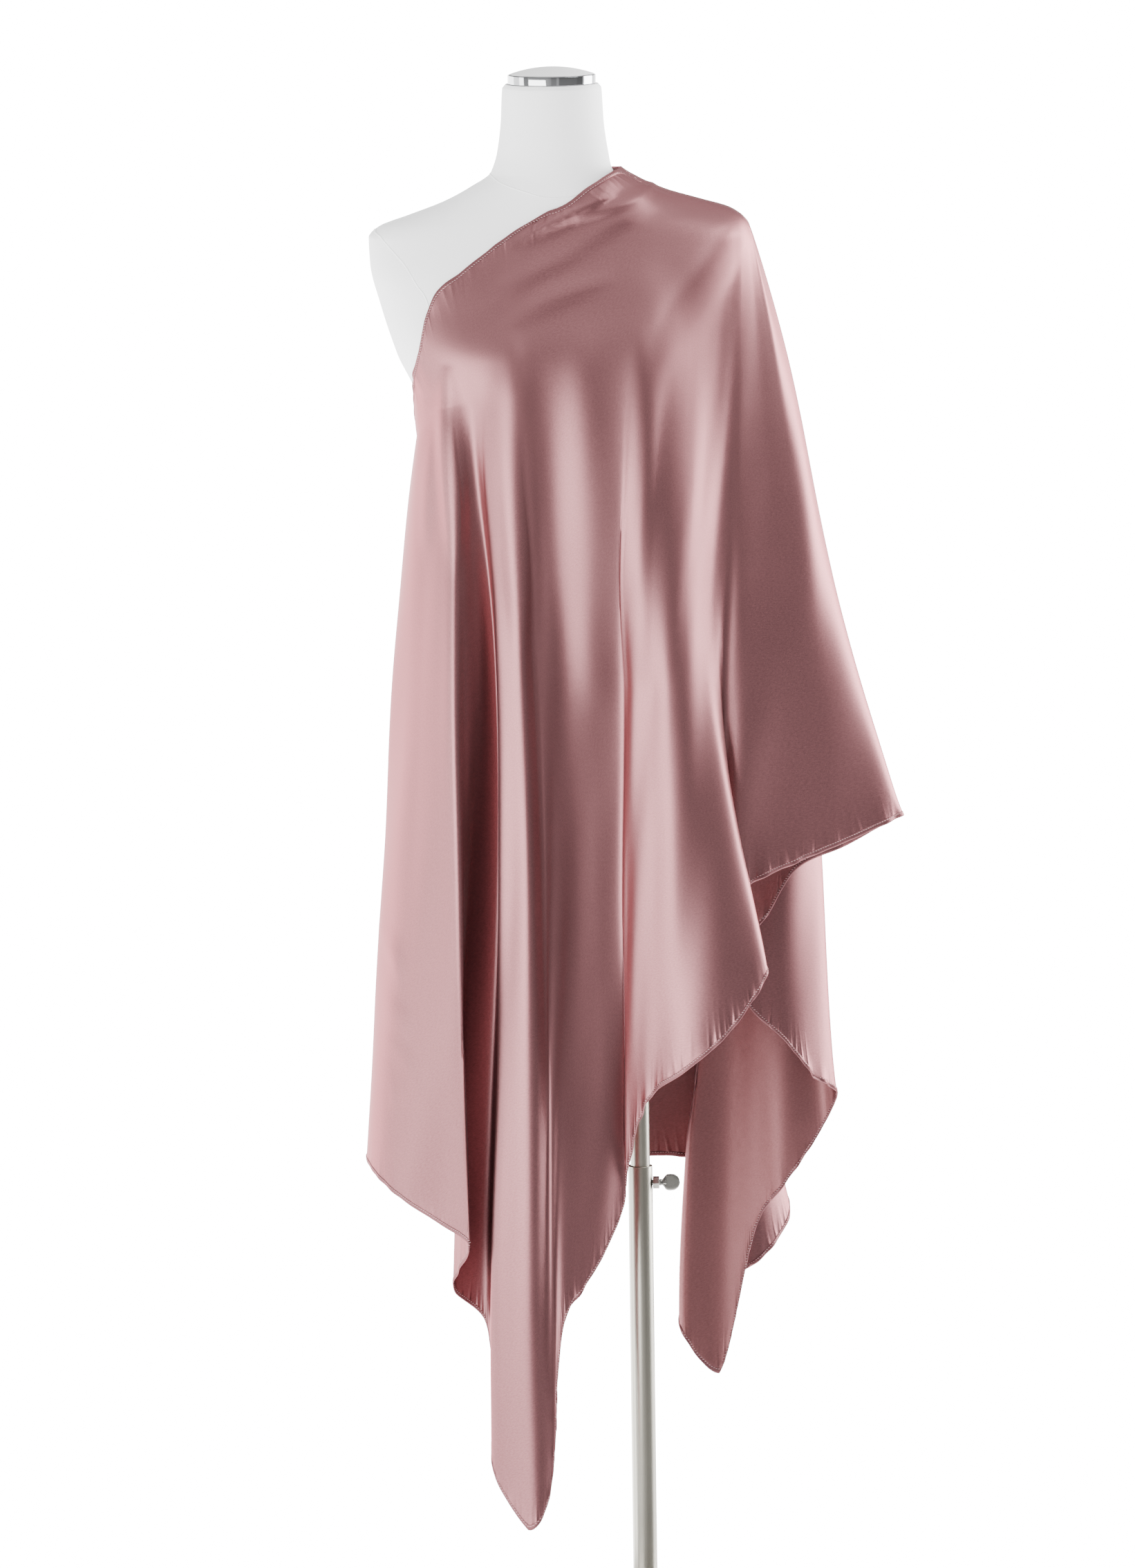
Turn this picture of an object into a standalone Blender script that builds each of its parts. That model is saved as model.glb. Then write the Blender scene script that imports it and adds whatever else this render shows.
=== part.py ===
"""A satin hijab draped over one shoulder of a limbless dress form on a telescoping stand.

Metres, +Z up. The origin is under the middle of the round base, on the axis of the tubes.
The front of the form faces -Y, and +X is to the right of someone who looks at its front.
"""

import math

import bmesh
import bpy
import numpy as np
from mathutils import Matrix

# Stand
BASE_RADIUS = 0.19
BASE_THICK = 0.012
BASE_ROUND = 0.003
HUB_RADIUS = 0.027
HUB_TOP = 0.050
OUTER_RADIUS = 0.0125
OUTER_BORE = 0.0105
OUTER_TOP = 0.489
INNER_RADIUS = 0.0100
INNER_BORE = 0.0085
INNER_FOOT = 0.260
GAP = 0.0003

# Clamp screw, which turns about a line along X
CLAMP_Z = 0.471
NUT_ACROSS = 0.0135
NUT_END = 0.0195
SHANK_RADIUS = 0.0028
SHANK_BORE = 0.0032
SHANK_TIP = 0.0105
COLLAR_RADIUS = 0.0040
COLLAR_END = 0.0245
NECK_RADIUS = 0.0022
NECK_TAPER = 0.001
GRIP_RADIUS = 0.0088
GRIP_THICK = 0.0030
GRIP_X = 0.0318
CLAMP_CUT_FROM = 0.004
CLAMP_CUT_TO = 0.030

# Dress form: one row for each level, from its flat bottom to the rim of the neck
FORM_LEVELS = (
    # z, mid_x, half_width, front, back, square
    (0.776, -0.050, 0.146, 0.080, 0.100, 2.2),
    (0.786, -0.050, 0.151, 0.084, 0.105, 2.2),
    (0.860, -0.051, 0.156, 0.088, 0.112, 2.2),
    (0.920, -0.052, 0.155, 0.088, 0.112, 2.2),
    (1.000, -0.058, 0.140, 0.086, 0.102, 2.2),
    (1.100, -0.064, 0.119, 0.084, 0.088, 2.2),
    (1.180, -0.068, 0.128, 0.096, 0.088, 2.2),
    (1.250, -0.073, 0.140, 0.114, 0.094, 2.3),
    (1.286, -0.075, 0.142, 0.120, 0.097, 2.3),
    (1.328, -0.076, 0.159, 0.115, 0.100, 2.4),
    (1.378, -0.076, 0.175, 0.095, 0.098, 2.5),
    (1.420, -0.076, 0.185, 0.077, 0.089, 2.6),
    (1.446, -0.076, 0.186, 0.065, 0.079, 2.6),
    (1.456, -0.076, 0.176, 0.061, 0.074, 2.6),
    (1.467, -0.076, 0.146, 0.058, 0.069, 2.5),
    (1.480, -0.076, 0.111, 0.055, 0.064, 2.4),
    (1.495, -0.076, 0.082, 0.053, 0.060, 2.2),
    (1.509, -0.076, 0.062, 0.051, 0.056, 2.1),
    (1.530, -0.075, 0.056, 0.050, 0.053, 2.0),
    (1.560, -0.075, 0.052, 0.050, 0.051, 2.0),
    (1.594, -0.075, 0.050, 0.050, 0.050, 2.0),
    (1.598, -0.075, 0.047, 0.047, 0.047, 2.0),
)
FORM_RING = 40
SOCKET_RADIUS = 0.034
SOCKET_THICK = 0.009
CAP_RADIUS = 0.0445
CAP_BAND = 0.009
CAP_RISE = 0.008

# Cloth: its wall, how far its middle lies off the form where it touches and where it falls beside it,
# how far it splays as it leaves the form, and the height of its folds' middle places
WALL = 0.0016
SEAM_GAP = 0.0005
CLOTH_OFF = 0.0023
FREE_OFF = 0.0032
START_SPLAY = 1.5
FREE_MID_Z = 1.05

# Upper edge of the cloth round the form, front first: its height at each turn, and how far it
# stands off, as where it is bunched beside the neck
UPPER_EDGE = (
    # turn, z, lift
    (-180, 1.264, 0.001),
    (-169, 1.291, 0.001),
    (-144, 1.334, 0.000),
    (-132, 1.375, 0.000),
    (-125, 1.396, 0.000),
    (-114, 1.415, 0.000),
    (-101, 1.445, 0.000),
    (-90, 1.475, 0.000),
    (-64, 1.497, 0.001),
    (-25, 1.507, 0.005),
    (0, 1.510, 0.006),
    (25, 1.507, 0.005),
    (64, 1.494, 0.001),
    (90, 1.468, 0.000),
    (108, 1.436, 0.000),
    (125, 1.396, 0.000),
    (144, 1.336, 0.000),
    (169, 1.285, 0.001),
    (180, 1.264, 0.001),
)

# Where the cloth leaves the form and hangs free, and how far it stands off the form there
LEAVE_LINE = (
    # turn, z, lift
    (-180, 1.240, 0.0020),
    (-150, 1.270, 0.0005),
    (-120, 1.285, 0.0005),
    (-60, 1.285, 0.0012),
    (-40, 1.325, 0.0035),
    (-22, 1.395, 0.0070),
    (-10, 1.438, 0.0110),
    (0, 1.450, 0.0125),
    (10, 1.438, 0.0110),
    (22, 1.400, 0.0070),
    (40, 1.350, 0.0045),
    (60, 1.315, 0.0022),
    (120, 1.300, 0.0005),
    (150, 1.275, 0.0005),
    (180, 1.240, 0.0020),
)

# Fold lines of the cloth, in order round the form from its left side: the turn where each leaves
# the form, its place at FREE_MID_Z, and its end in the lower hem
FOLD_LINES = (
    # turn, mid_x, mid_y, hem_x, hem_y, hem_z
    # left side and the panel in front of it
    (-180, -0.239, 0.000, -0.279, 0.005, 0.498),
    (-163, -0.227, -0.052, -0.266, -0.042, 0.487),
    (-150, -0.211, -0.086, -0.238, -0.078, 0.468),
    (-142, -0.196, -0.106, -0.206, -0.106, 0.450),
    (-134, -0.178, -0.110, -0.174, -0.130, 0.432),
    # deep valley between the panel and the long tube fold
    (-130, -0.170, -0.097, -0.186, -0.092, 0.402),
    (-126, -0.160, -0.086, -0.198, -0.062, 0.376),
    (-122, -0.148, -0.088, -0.160, -0.064, 0.336),
    # tube fold, whose tip hangs lowest
    (-118, -0.136, -0.108, -0.160, -0.100, 0.262),
    (-115, -0.132, -0.128, -0.160, -0.132, 0.210),
    (-110, -0.122, -0.142, -0.143, -0.155, 0.172),
    (-106, -0.113, -0.142, -0.117, -0.163, 0.144),
    (-102, -0.105, -0.128, -0.094, -0.148, 0.196),
    (-99, -0.099, -0.108, -0.093, -0.120, 0.300),
    # second valley and the broad middle panel
    (-96, -0.090, -0.097, -0.087, -0.098, 0.371),
    (-91, -0.070, -0.102, -0.070, -0.098, 0.391),
    (-80, -0.040, -0.118, -0.040, -0.112, 0.425),
    (-69, -0.014, -0.112, -0.018, -0.106, 0.468),
    # step at the sharp crease, then the front right panel
    (-65, -0.006, -0.114, -0.012, -0.112, 0.505),
    (-60, 0.000, -0.136, -0.008, -0.134, 0.552),
    (-53, 0.022, -0.142, 0.012, -0.142, 0.588),
    (-45, 0.045, -0.134, 0.045, -0.140, 0.612),
    (-37, 0.066, -0.126, 0.091, -0.131, 0.652),
    (-30, 0.086, -0.118, 0.128, -0.118, 0.704),
    # folded back behind the front edge
    (-25, 0.096, -0.098, 0.118, -0.094, 0.716),
    (-20, 0.104, -0.080, 0.086, -0.078, 0.738),
    # sleeve-like fall from the shoulder, front
    (-15, 0.124, -0.068, 0.108, -0.066, 0.785),
    (-9, 0.152, -0.068, 0.157, -0.060, 0.808),
    (-4, 0.184, -0.054, 0.214, -0.045, 0.829),
    (1, 0.211, -0.018, 0.268, -0.020, 0.848),
    # the same fall, back layer
    (5, 0.212, 0.006, 0.264, 0.001, 0.844),
    (9, 0.194, 0.028, 0.215, 0.016, 0.815),
    (14, 0.166, 0.042, 0.164, 0.024, 0.790),
    (19, 0.143, 0.050, 0.131, 0.026, 0.738),
    (23, 0.134, 0.055, 0.098, 0.032, 0.702),
    # side panel
    (27, 0.137, 0.063, 0.113, 0.044, 0.647),
    (32, 0.147, 0.070, 0.165, 0.050, 0.607),
    (37, 0.160, 0.082, 0.202, 0.060, 0.567),
    # tail behind it
    (41, 0.161, 0.094, 0.202, 0.078, 0.545),
    (46, 0.154, 0.102, 0.190, 0.090, 0.505),
    (52, 0.130, 0.110, 0.150, 0.106, 0.447),
    (58, 0.104, 0.115, 0.120, 0.116, 0.370),
    (64, 0.080, 0.117, 0.080, 0.124, 0.245),
    (69, 0.062, 0.114, 0.048, 0.126, 0.290),
    # hidden layer behind the tail
    (73, 0.050, 0.120, 0.055, 0.144, 0.325),
    (77, 0.040, 0.130, 0.118, 0.150, 0.360),
    (81, 0.030, 0.142, 0.156, 0.160, 0.405),
    (85, 0.014, 0.147, 0.120, 0.178, 0.440),
    # back panel
    (91, -0.008, 0.140, 0.045, 0.184, 0.462),
    (99, -0.050, 0.132, -0.030, 0.172, 0.466),
    (110, -0.092, 0.150, -0.090, 0.190, 0.472),
    (121, -0.132, 0.122, -0.140, 0.150, 0.476),
    (133, -0.170, 0.128, -0.188, 0.158, 0.482),
    (147, -0.200, 0.088, -0.228, 0.106, 0.488),
    (159, -0.229, 0.072, -0.262, 0.084, 0.493),
    (170, -0.236, 0.036, -0.273, 0.044, 0.497),
)
COLUMNS_PER_FOLD = 2
ROWS_ON_FORM = 9
ROWS_FREE = 16
FORM_REACH_BELOW = 0.010
NEAR_AXIS = 0.05

# Each stretch of cloth: its first and last fold line, counted round from the left side
STRETCHES = (
    ("drape_front", 0, 20),
    ("drape_side", 20, 40),
    ("drape_tail", 40, 48),
    ("drape_back", 48, 56),
)

PINK = (0.48, 0.20, 0.19, 1.0)
FORM_WHITE = (0.80, 0.79, 0.77, 1.0)
STEEL = (0.55, 0.54, 0.52, 1.0)
CHROME = (0.82, 0.82, 0.83, 1.0)


def clear_scene():
    for obj in list(bpy.data.objects):
        bpy.data.objects.remove(obj, do_unlink=True)


def material(name, colour, roughness, metallic):
    made = bpy.data.materials.new(name)
    made.use_nodes = True
    shader = made.node_tree.nodes["Principled BSDF"]
    shader.inputs["Base Color"].default_value = colour
    shader.inputs["Roughness"].default_value = roughness
    shader.inputs["Metallic"].default_value = metallic
    return made


def add_object(name, mesh, finish, sharp_degrees=35):
    mesh.materials.append(finish)
    mesh.shade_smooth()
    mesh.set_sharp_from_angle(angle=math.radians(sharp_degrees))
    obj = bpy.data.objects.new(name, mesh)
    bpy.context.scene.collection.objects.link(obj)
    return obj


def columns_of(table):
    """The table's columns as float arrays."""
    return np.array(table, dtype=float).T


def slopes(knots, values):
    """Slopes that never overshoot: the harmonic mean of the two chords, or 0 at a turning point."""
    chord = np.diff(values, axis=0) / np.diff(knots)[:, None]
    before, after = chord[:-1], chord[1:]
    product = before * after
    total = before + after
    mean = 2 * product / np.where(product > 0, total, 1.0)
    inner = np.where(product > 0, mean, 0.0)
    return np.concatenate([chord[:1], inner, chord[-1:]])


def rounded_slopes(knots, values):
    """Slopes that round every turning point: the chord between each knot's two neighbours."""
    middle = (values[2:] - values[:-2]) / (knots[2:] - knots[:-2])[:, None]
    return np.concatenate([middle[:1], middle, middle[-1:]])


def through(knots, values, at, slope_rule=slopes):
    """A smooth curve through the values at the knots, read at the places in at."""
    knots = np.asarray(knots, float)
    values = np.asarray(values, float)
    flat = values.ndim == 1
    if flat:
        values = values[:, None]
    tangent = slope_rule(knots, values)
    at = np.asarray(at, float)
    cell = np.clip(np.searchsorted(knots, at, side="right") - 1, 0, len(knots) - 2)
    step = (knots[cell + 1] - knots[cell])[..., None]
    s = (at[..., None] - knots[cell][..., None]) / step
    low, high = values[cell], values[cell + 1]
    found = (
        low * (1 + 2 * s) * (1 - s) ** 2
        + high * s**2 * (3 - 2 * s)
        + tangent[cell] * step * s * (1 - s) ** 2
        - tangent[cell + 1] * step * s**2 * (1 - s)
    )
    return found[..., 0] if flat else found


def form_point(turn, z):
    """Point on the dress form at this turn, in degrees from +X, and this height.

    Each level is a superellipse: half_width across, front or back deep, with the level's squareness.
    """
    levels = columns_of(FORM_LEVELS)
    mid_x, half_width, front, back, square = np.moveaxis(through(levels[0], levels[1:].T, z), -1, 0)
    across = np.cos(np.radians(turn))
    along = np.sin(np.radians(turn))
    power = 2 / square
    x = mid_x + half_width * np.sign(across) * np.abs(across) ** power
    y = np.where(along < 0, front, back) * np.sign(along) * np.abs(along) ** power
    return np.stack([x, y, z + 0 * x], axis=-1)


def form_normal(turn, z, step=1e-3):
    """Outward normal of the dress form, from two small steps on it."""
    round_it = form_point(turn + 40 * step, z) - form_point(turn - 40 * step, z)
    up = form_point(turn, z + step) - form_point(turn, z - step)
    normal = np.cross(round_it, up)
    return normal / np.linalg.norm(normal, axis=-1, keepdims=True)


def level_runs(step=0.001):
    """Heights up the form, and the distance run along its side outline to each."""
    levels = columns_of(FORM_LEVELS)
    z = np.arange(levels[0][0], levels[0][-1], step)
    outline = through(levels[0], levels[2], z)
    run = np.hypot(np.diff(z), np.diff(outline))
    return z, np.concatenate([[0], np.cumsum(run)])


def clear_of_form(points):
    """The points, with any that lie in the form or closer than FREE_OFF to it moved out on their level."""
    levels = columns_of(FORM_LEVELS)
    z = np.clip(points[..., 2], levels[0][0], levels[0][-1])
    mid_x, half_width, front, back, square = np.moveaxis(through(levels[0], levels[1:].T, z), -1, 0)
    dx = points[..., 0] - mid_x
    dy = points[..., 1]
    depth = np.where(dy < 0, front, back) + FREE_OFF
    across = half_width + FREE_OFF
    reach = (np.abs(dx / across) ** square + np.abs(dy / depth) ** square) ** (1 / square)
    beside = points[..., 2] > levels[0][0] - FORM_REACH_BELOW
    grow = np.where(beside & (reach < 1), 1 / np.maximum(reach, NEAR_AXIS), 1.0)
    moved = points.copy()
    moved[..., 0] = mid_x + dx * grow
    moved[..., 1] = dy * grow
    return moved


def drape_point(fold, fall):
    """Point of the cloth's middle surface.

    fold counts the fold lines round the form, and wraps. fall runs from -1 at the upper edge,
    through 0 where the cloth leaves the form, to 1 at the lower hem. Above 0 the point lies on
    the form, moved out along its normal. Below 0 it follows a cubic from the leaving point
    through the fold line's place at FREE_MID_Z to its place in the hem, at a height that falls evenly.
    """
    rows = np.array(FOLD_LINES, dtype=float)
    count = len(rows)
    turned = rows + np.array([360, 0, 0, 0, 0, 0])
    before = rows - np.array([360, 0, 0, 0, 0, 0])
    table = np.concatenate([before[-3:], rows, turned[:3]])
    knots = np.arange(-3, count + 3)
    at = np.mod(fold, count)
    turn, mid_x, mid_y, hem_x, hem_y, hem_z = np.moveaxis(through(knots, table, at, rounded_slopes), -1, 0)
    edge_turn, edge_z, edge_lift = columns_of(UPPER_EDGE)
    leave_turn, leave_z, leave_lift = columns_of(LEAVE_LINE)
    wrapped = np.mod(turn + 180, 360) - 180
    top_z = through(edge_turn, edge_z, wrapped)
    off_z = through(leave_turn, leave_z, wrapped)
    lift = through(leave_turn, leave_lift, wrapped)
    top_lift = through(edge_turn, edge_lift, wrapped)

    level_z, level_run = level_runs()
    top_run = np.interp(top_z, level_z, level_run)
    off_run = np.interp(off_z, level_z, level_run)
    climbed = -np.clip(fall, -1, 0)
    z = np.interp(off_run + (top_run - off_run) * climbed, level_run, level_z)
    share = (1 - climbed) ** 2 * (1 + 2 * climbed)
    stand_off = CLOTH_OFF + lift * share + top_lift * (1 - share)
    upper = form_point(turn, z) + stand_off[..., None] * form_normal(turn, z)

    start = form_point(turn, off_z) + (CLOTH_OFF + lift)[..., None] * form_normal(turn, off_z)
    s = np.clip(fall, 0, 1)
    knee = (off_z - FREE_MID_Z) / (off_z - hem_z)
    free = []
    for first, middle, last in ((start[..., 0], mid_x, hem_x), (start[..., 1], mid_y, hem_y)):
        early = (middle - first) / knee
        late = (last - middle) / (1 - knee)
        slope_start = START_SPLAY * early * np.cos(np.radians(turn)) ** 2
        slope_knee = early * (1 - knee) + late * knee
        a = np.clip(s / knee, 0, 1)
        b = np.clip((s - knee) / (1 - knee), 0, 1)
        above = hermite(first, middle, slope_start * knee, slope_knee * knee, a)
        below = hermite(middle, last, slope_knee * (1 - knee), late * (1 - knee), b)
        free.append(np.where(s < knee, above, below))
    free.append(start[..., 2] + s * (hem_z - start[..., 2]))
    lower = clear_of_form(np.stack(free, axis=-1))
    return np.where((fall <= 0)[..., None], upper, lower)


def hermite(first, last, slope_first, slope_last, s):
    return (
        first * (1 + 2 * s) * (1 - s) ** 2
        + last * s**2 * (3 - 2 * s)
        + slope_first * s * (1 - s) ** 2
        - slope_last * s**2 * (1 - s)
    )


def drape_normal(fold, fall, fold_step=0.02, fall_step=0.004):
    """Normal of the cloth's middle surface away from the form, from small steps along and down it."""
    along = drape_point(fold + fold_step, fall) - drape_point(fold - fold_step, fall)
    upper = np.clip(fall - fall_step, -1, 1)
    lower = np.clip(fall + fall_step, -1, 1)
    down = drape_point(fold, lower) - drape_point(fold, upper)
    normal = np.cross(along, -down)
    return normal / np.linalg.norm(normal, axis=-1, keepdims=True)


def fold_direction(fold, fall, fold_step=0.02):
    """Unit direction along the cloth, across the folds, at one fold line."""
    ahead = drape_point(fold + fold_step + 0 * fall, fall) - drape_point(fold - fold_step + 0 * fall, fall)
    return ahead / np.linalg.norm(ahead, axis=-1, keepdims=True)


def wall_mesh(name, middle, normal):
    """A closed wall on a grid of middle points: both faces half a wall out along the normals, and edges."""
    wide, tall = middle.shape[:2]
    outer = middle + normal * WALL / 2
    inner = middle - normal * WALL / 2
    points = np.concatenate([outer.reshape(-1, 3), inner.reshape(-1, 3)])
    index = np.arange(wide * tall).reshape(wide, tall)
    back = wide * tall
    a, b, c, d = index[:-1, :-1], index[1:, :-1], index[1:, 1:], index[:-1, 1:]
    faces = np.stack([a, d, c, b], axis=-1).reshape(-1, 4)
    rim = np.concatenate([index[:, 0], index[-1, 1:], index[-2::-1, -1], index[0, -2:0:-1]])
    ahead = np.roll(rim, -1)
    edges = np.stack([rim, ahead, ahead + back, rim + back], axis=-1)
    mesh = bpy.data.meshes.new(name)
    mesh.from_pydata(points.tolist(), [], np.concatenate([faces, faces[:, ::-1] + back, edges]).tolist())
    fix_normals(mesh)
    return mesh


def fix_normals(mesh):
    """Turns all faces of a closed mesh outward."""
    bm = bmesh.new()
    bm.from_mesh(mesh)
    bmesh.ops.recalc_face_normals(bm, faces=bm.faces)
    if bm.calc_volume(signed=True) < 0:
        bmesh.ops.reverse_faces(bm, faces=bm.faces)
    bm.to_mesh(mesh)
    bm.free()


def drape(finish):
    """The cloth, one wall for each stretch, with a seam gap between neighbours."""
    fall = np.concatenate([np.linspace(-1, 0, ROWS_ON_FORM + 1), np.linspace(0, 1, ROWS_FREE + 1)[1:]])
    for name, first, last in STRETCHES:
        folds = np.linspace(first, last, (last - first) * COLUMNS_PER_FOLD + 1)
        place = (folds[:, None] + 0 * fall, fall + 0 * folds[:, None])
        middle = drape_point(*place)
        middle[0] += SEAM_GAP / 2 * fold_direction(first, fall)
        middle[-1] -= SEAM_GAP / 2 * fold_direction(last, fall)
        wall = wall_mesh(name, middle, drape_normal(*place))
        add_object(name, wall, finish, sharp_degrees=60)


def turned_mesh(name, profile, segments=32):
    """A closed body of revolution about Z. The profile runs from its lower end on the axis or in a bore."""
    bm = bmesh.new()
    points = [bm.verts.new((radius, 0.0, z)) for radius, z in profile]
    edges = [bm.edges.new(pair) for pair in zip(points, points[1:])]
    if profile[0][0] > 0:
        edges.append(bm.edges.new((points[-1], points[0])))
    bmesh.ops.spin(
        bm,
        geom=points + edges,
        cent=(0, 0, 0),
        axis=(0, 0, 1),
        angle=2 * math.pi,
        steps=segments,
        use_merge=True,
    )
    bmesh.ops.remove_doubles(bm, verts=bm.verts, dist=1e-6)
    bmesh.ops.recalc_face_normals(bm, faces=bm.faces)
    mesh = bpy.data.meshes.new(name)
    bm.to_mesh(mesh)
    bm.free()
    return mesh


def arc(centre_radius, centre_z, radius, start, end, steps):
    """Points of an arc in the profile plane, from start to end degrees."""
    angles = np.radians(np.linspace(start, end, steps + 1))
    return [(centre_radius + radius * math.cos(a), centre_z + radius * math.sin(a)) for a in angles]


def stand(steel):
    """Round base plate, hub and outer tube with its clamp nut."""
    edge = BASE_RADIUS - BASE_ROUND
    rim = arc(edge, BASE_THICK - BASE_ROUND, BASE_ROUND, 0, 90, 3)
    plate = [(0, 0), (BASE_RADIUS, 0)] + rim + [(0, BASE_THICK)]
    add_object("base_plate", turned_mesh("base_plate", plate, 64), steel)

    foot = BASE_THICK + GAP
    hub_edge = arc(HUB_RADIUS - BASE_ROUND, HUB_TOP - BASE_ROUND, BASE_ROUND, 0, 90, 3)
    bore = OUTER_RADIUS + GAP
    hub = [(bore, foot), (HUB_RADIUS, foot)] + hub_edge + [(bore, HUB_TOP)]
    add_object("base_hub", turned_mesh("base_hub", hub), steel)

    wall = [(OUTER_BORE, foot), (OUTER_RADIUS, foot), (OUTER_RADIUS, OUTER_TOP), (OUTER_BORE, OUTER_TOP)]
    tube = add_object("outer_tube", turned_mesh("outer_tube", wall), steel)
    cut_with(tube, along_x_cylinder("clamp_hole_cutter"))

    nut_mesh = bpy.data.meshes.new("clamp_nut")
    bm = bmesh.new()
    start = OUTER_RADIUS + GAP
    bmesh.ops.create_cone(
        bm,
        cap_ends=True,
        segments=6,
        radius1=NUT_ACROSS / math.sqrt(3),
        radius2=NUT_ACROSS / math.sqrt(3),
        depth=NUT_END - start,
        matrix=along_x((start + NUT_END) / 2, CLAMP_Z),
    )
    bm.to_mesh(nut_mesh)
    bm.free()
    nut = add_object("clamp_nut", nut_mesh, steel)
    cut_with(nut, along_x_cylinder("nut_bore_cutter"))


def along_x(x, z):
    """Turns what was made along Z to lie along X, with its middle at this place."""
    return Matrix.Translation((x, 0, z)) @ Matrix.Rotation(math.pi / 2, 4, "Y")


def along_x_cylinder(name, segments=16):
    """A cutter for the screw's bore: a plain cylinder along X at the clamp's height."""
    mesh = bpy.data.meshes.new(name)
    bm = bmesh.new()
    bmesh.ops.create_cone(
        bm,
        cap_ends=True,
        segments=segments,
        radius1=SHANK_BORE,
        radius2=SHANK_BORE,
        depth=CLAMP_CUT_TO - CLAMP_CUT_FROM,
        matrix=along_x((CLAMP_CUT_FROM + CLAMP_CUT_TO) / 2, CLAMP_Z),
    )
    bm.to_mesh(mesh)
    bm.free()
    cutter = bpy.data.objects.new(name, mesh)
    bpy.context.scene.collection.objects.link(cutter)
    return cutter


def cut_with(obj, cutter):
    """Cuts the object with a hidden cutter."""
    cutter.hide_render = True
    cutter.display_type = "WIRE"
    cut = obj.modifiers.new("cut", "BOOLEAN")
    cut.operation = "DIFFERENCE"
    cut.object = cutter


def thumb_screw(steel):
    """Clamp screw: a shank through the nut, a collar, a neck, and a flat disc to turn it by."""
    profile = [
        (0, SHANK_TIP),
        (SHANK_RADIUS, SHANK_TIP),
        (SHANK_RADIUS, NUT_END + GAP),
        (COLLAR_RADIUS, NUT_END + GAP),
        (COLLAR_RADIUS, COLLAR_END),
        (NECK_RADIUS, COLLAR_END + NECK_TAPER),
        (NECK_RADIUS, GRIP_X),
        (0, GRIP_X),
    ]
    mesh = turned_mesh("thumb_screw", profile, 16)
    mesh.transform(Matrix.Rotation(math.pi / 2, 4, "Y"))
    screw = add_object("thumb_screw", mesh, steel)
    screw.location = (0, 0, CLAMP_Z)

    grip_mesh = bpy.data.meshes.new("grip_joined")
    bm = bmesh.new()
    bmesh.ops.create_cone(
        bm,
        cap_ends=True,
        segments=24,
        radius1=GRIP_RADIUS,
        radius2=GRIP_RADIUS,
        depth=GRIP_THICK,
        matrix=Matrix.Translation((GRIP_X, 0, 0)) @ Matrix.Rotation(math.pi / 2, 4, "X"),
    )
    bm.to_mesh(grip_mesh)
    bm.free()
    grip = bpy.data.objects.new("grip_joined", grip_mesh)
    bpy.context.scene.collection.objects.link(grip)
    grip.location = (0, 0, CLAMP_Z)
    grip.hide_render = True
    grip.display_type = "WIRE"
    join = screw.modifiers.new("grip", "BOOLEAN")
    join.operation = "UNION"
    join.object = grip


def inner_tube(steel):
    """Tube that slides in the outer tube and carries the form."""
    foot, head = INNER_FOOT, FORM_LEVELS[0][0] - GAP
    wall = [(INNER_BORE, foot), (INNER_RADIUS, foot), (INNER_RADIUS, head), (INNER_BORE, head)]
    add_object("inner_tube", turned_mesh("inner_tube", wall), steel)


def dress_form(cover, steel, chrome):
    """Torso and neck, the socket under it, and the cap on the neck."""
    bottom, top = FORM_LEVELS[0][0], FORM_LEVELS[-1][0]
    z = columns_of(FORM_LEVELS)[0]
    turn = np.arange(FORM_RING) * 360 / FORM_RING
    rings = form_point(turn[None, :] + 0 * z[:, None], z[:, None] + 0 * turn[None, :])
    index = np.arange(rings[..., 0].size).reshape(len(z), FORM_RING)
    low, high = index[:-1], index[1:]
    sides = np.stack([low, np.roll(low, -1, 1), np.roll(high, -1, 1), high], axis=-1).reshape(-1, 4)
    mesh = bpy.data.meshes.new("form_torso")
    mesh.from_pydata(
        rings.reshape(-1, 3).tolist(), [], sides.tolist() + [index[0, ::-1].tolist(), index[-1].tolist()]
    )
    fix_normals(mesh)
    add_object("form_torso", mesh, cover, sharp_degrees=50)

    under = bottom - GAP
    bore = INNER_RADIUS + GAP
    flange = [
        (bore, under - SOCKET_THICK),
        (SOCKET_RADIUS, under - SOCKET_THICK),
        (SOCKET_RADIUS, under),
        (bore, under),
    ]
    add_object("form_socket", turned_mesh("form_socket", flange), steel)

    foot = top + GAP
    dome_radius = (CAP_RADIUS**2 + CAP_RISE**2) / (2 * CAP_RISE)
    half = math.degrees(math.asin(CAP_RADIUS / dome_radius))
    dome = arc(0, foot + CAP_BAND + CAP_RISE - dome_radius, dome_radius, 90 - half, 90, 5)
    cap = [(0, foot), (CAP_RADIUS, foot)] + dome[:-1] + [(0, foot + CAP_BAND + CAP_RISE)]
    obj = add_object("neck_cap", turned_mesh("neck_cap", cap), chrome)
    obj.location = (FORM_LEVELS[-1][1], 0, 0)


def main():
    clear_scene()
    satin = material("satin", PINK, 0.35, 0.0)
    cover = material("form_cover", FORM_WHITE, 0.8, 0.0)
    steel = material("brushed_steel", STEEL, 0.35, 1.0)
    chrome = material("chrome", CHROME, 0.08, 1.0)
    stand(steel)
    thumb_screw(steel)
    inner_tube(steel)
    dress_form(cover, steel, chrome)
    drape(satin)


main()
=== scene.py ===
"""Looks of a satin hijab draped over one shoulder of a dress form on its stand.

Metres, +Z up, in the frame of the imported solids. Tables that say so are in millimetres. A place on
the cloth is given by fold and fall. fold counts the fold lines round the form from its left side.
fall runs from -1 at the cloth's upper edge, through 0 where the cloth leaves the form, to 1 at its
lower hem.
"""

import math

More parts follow.
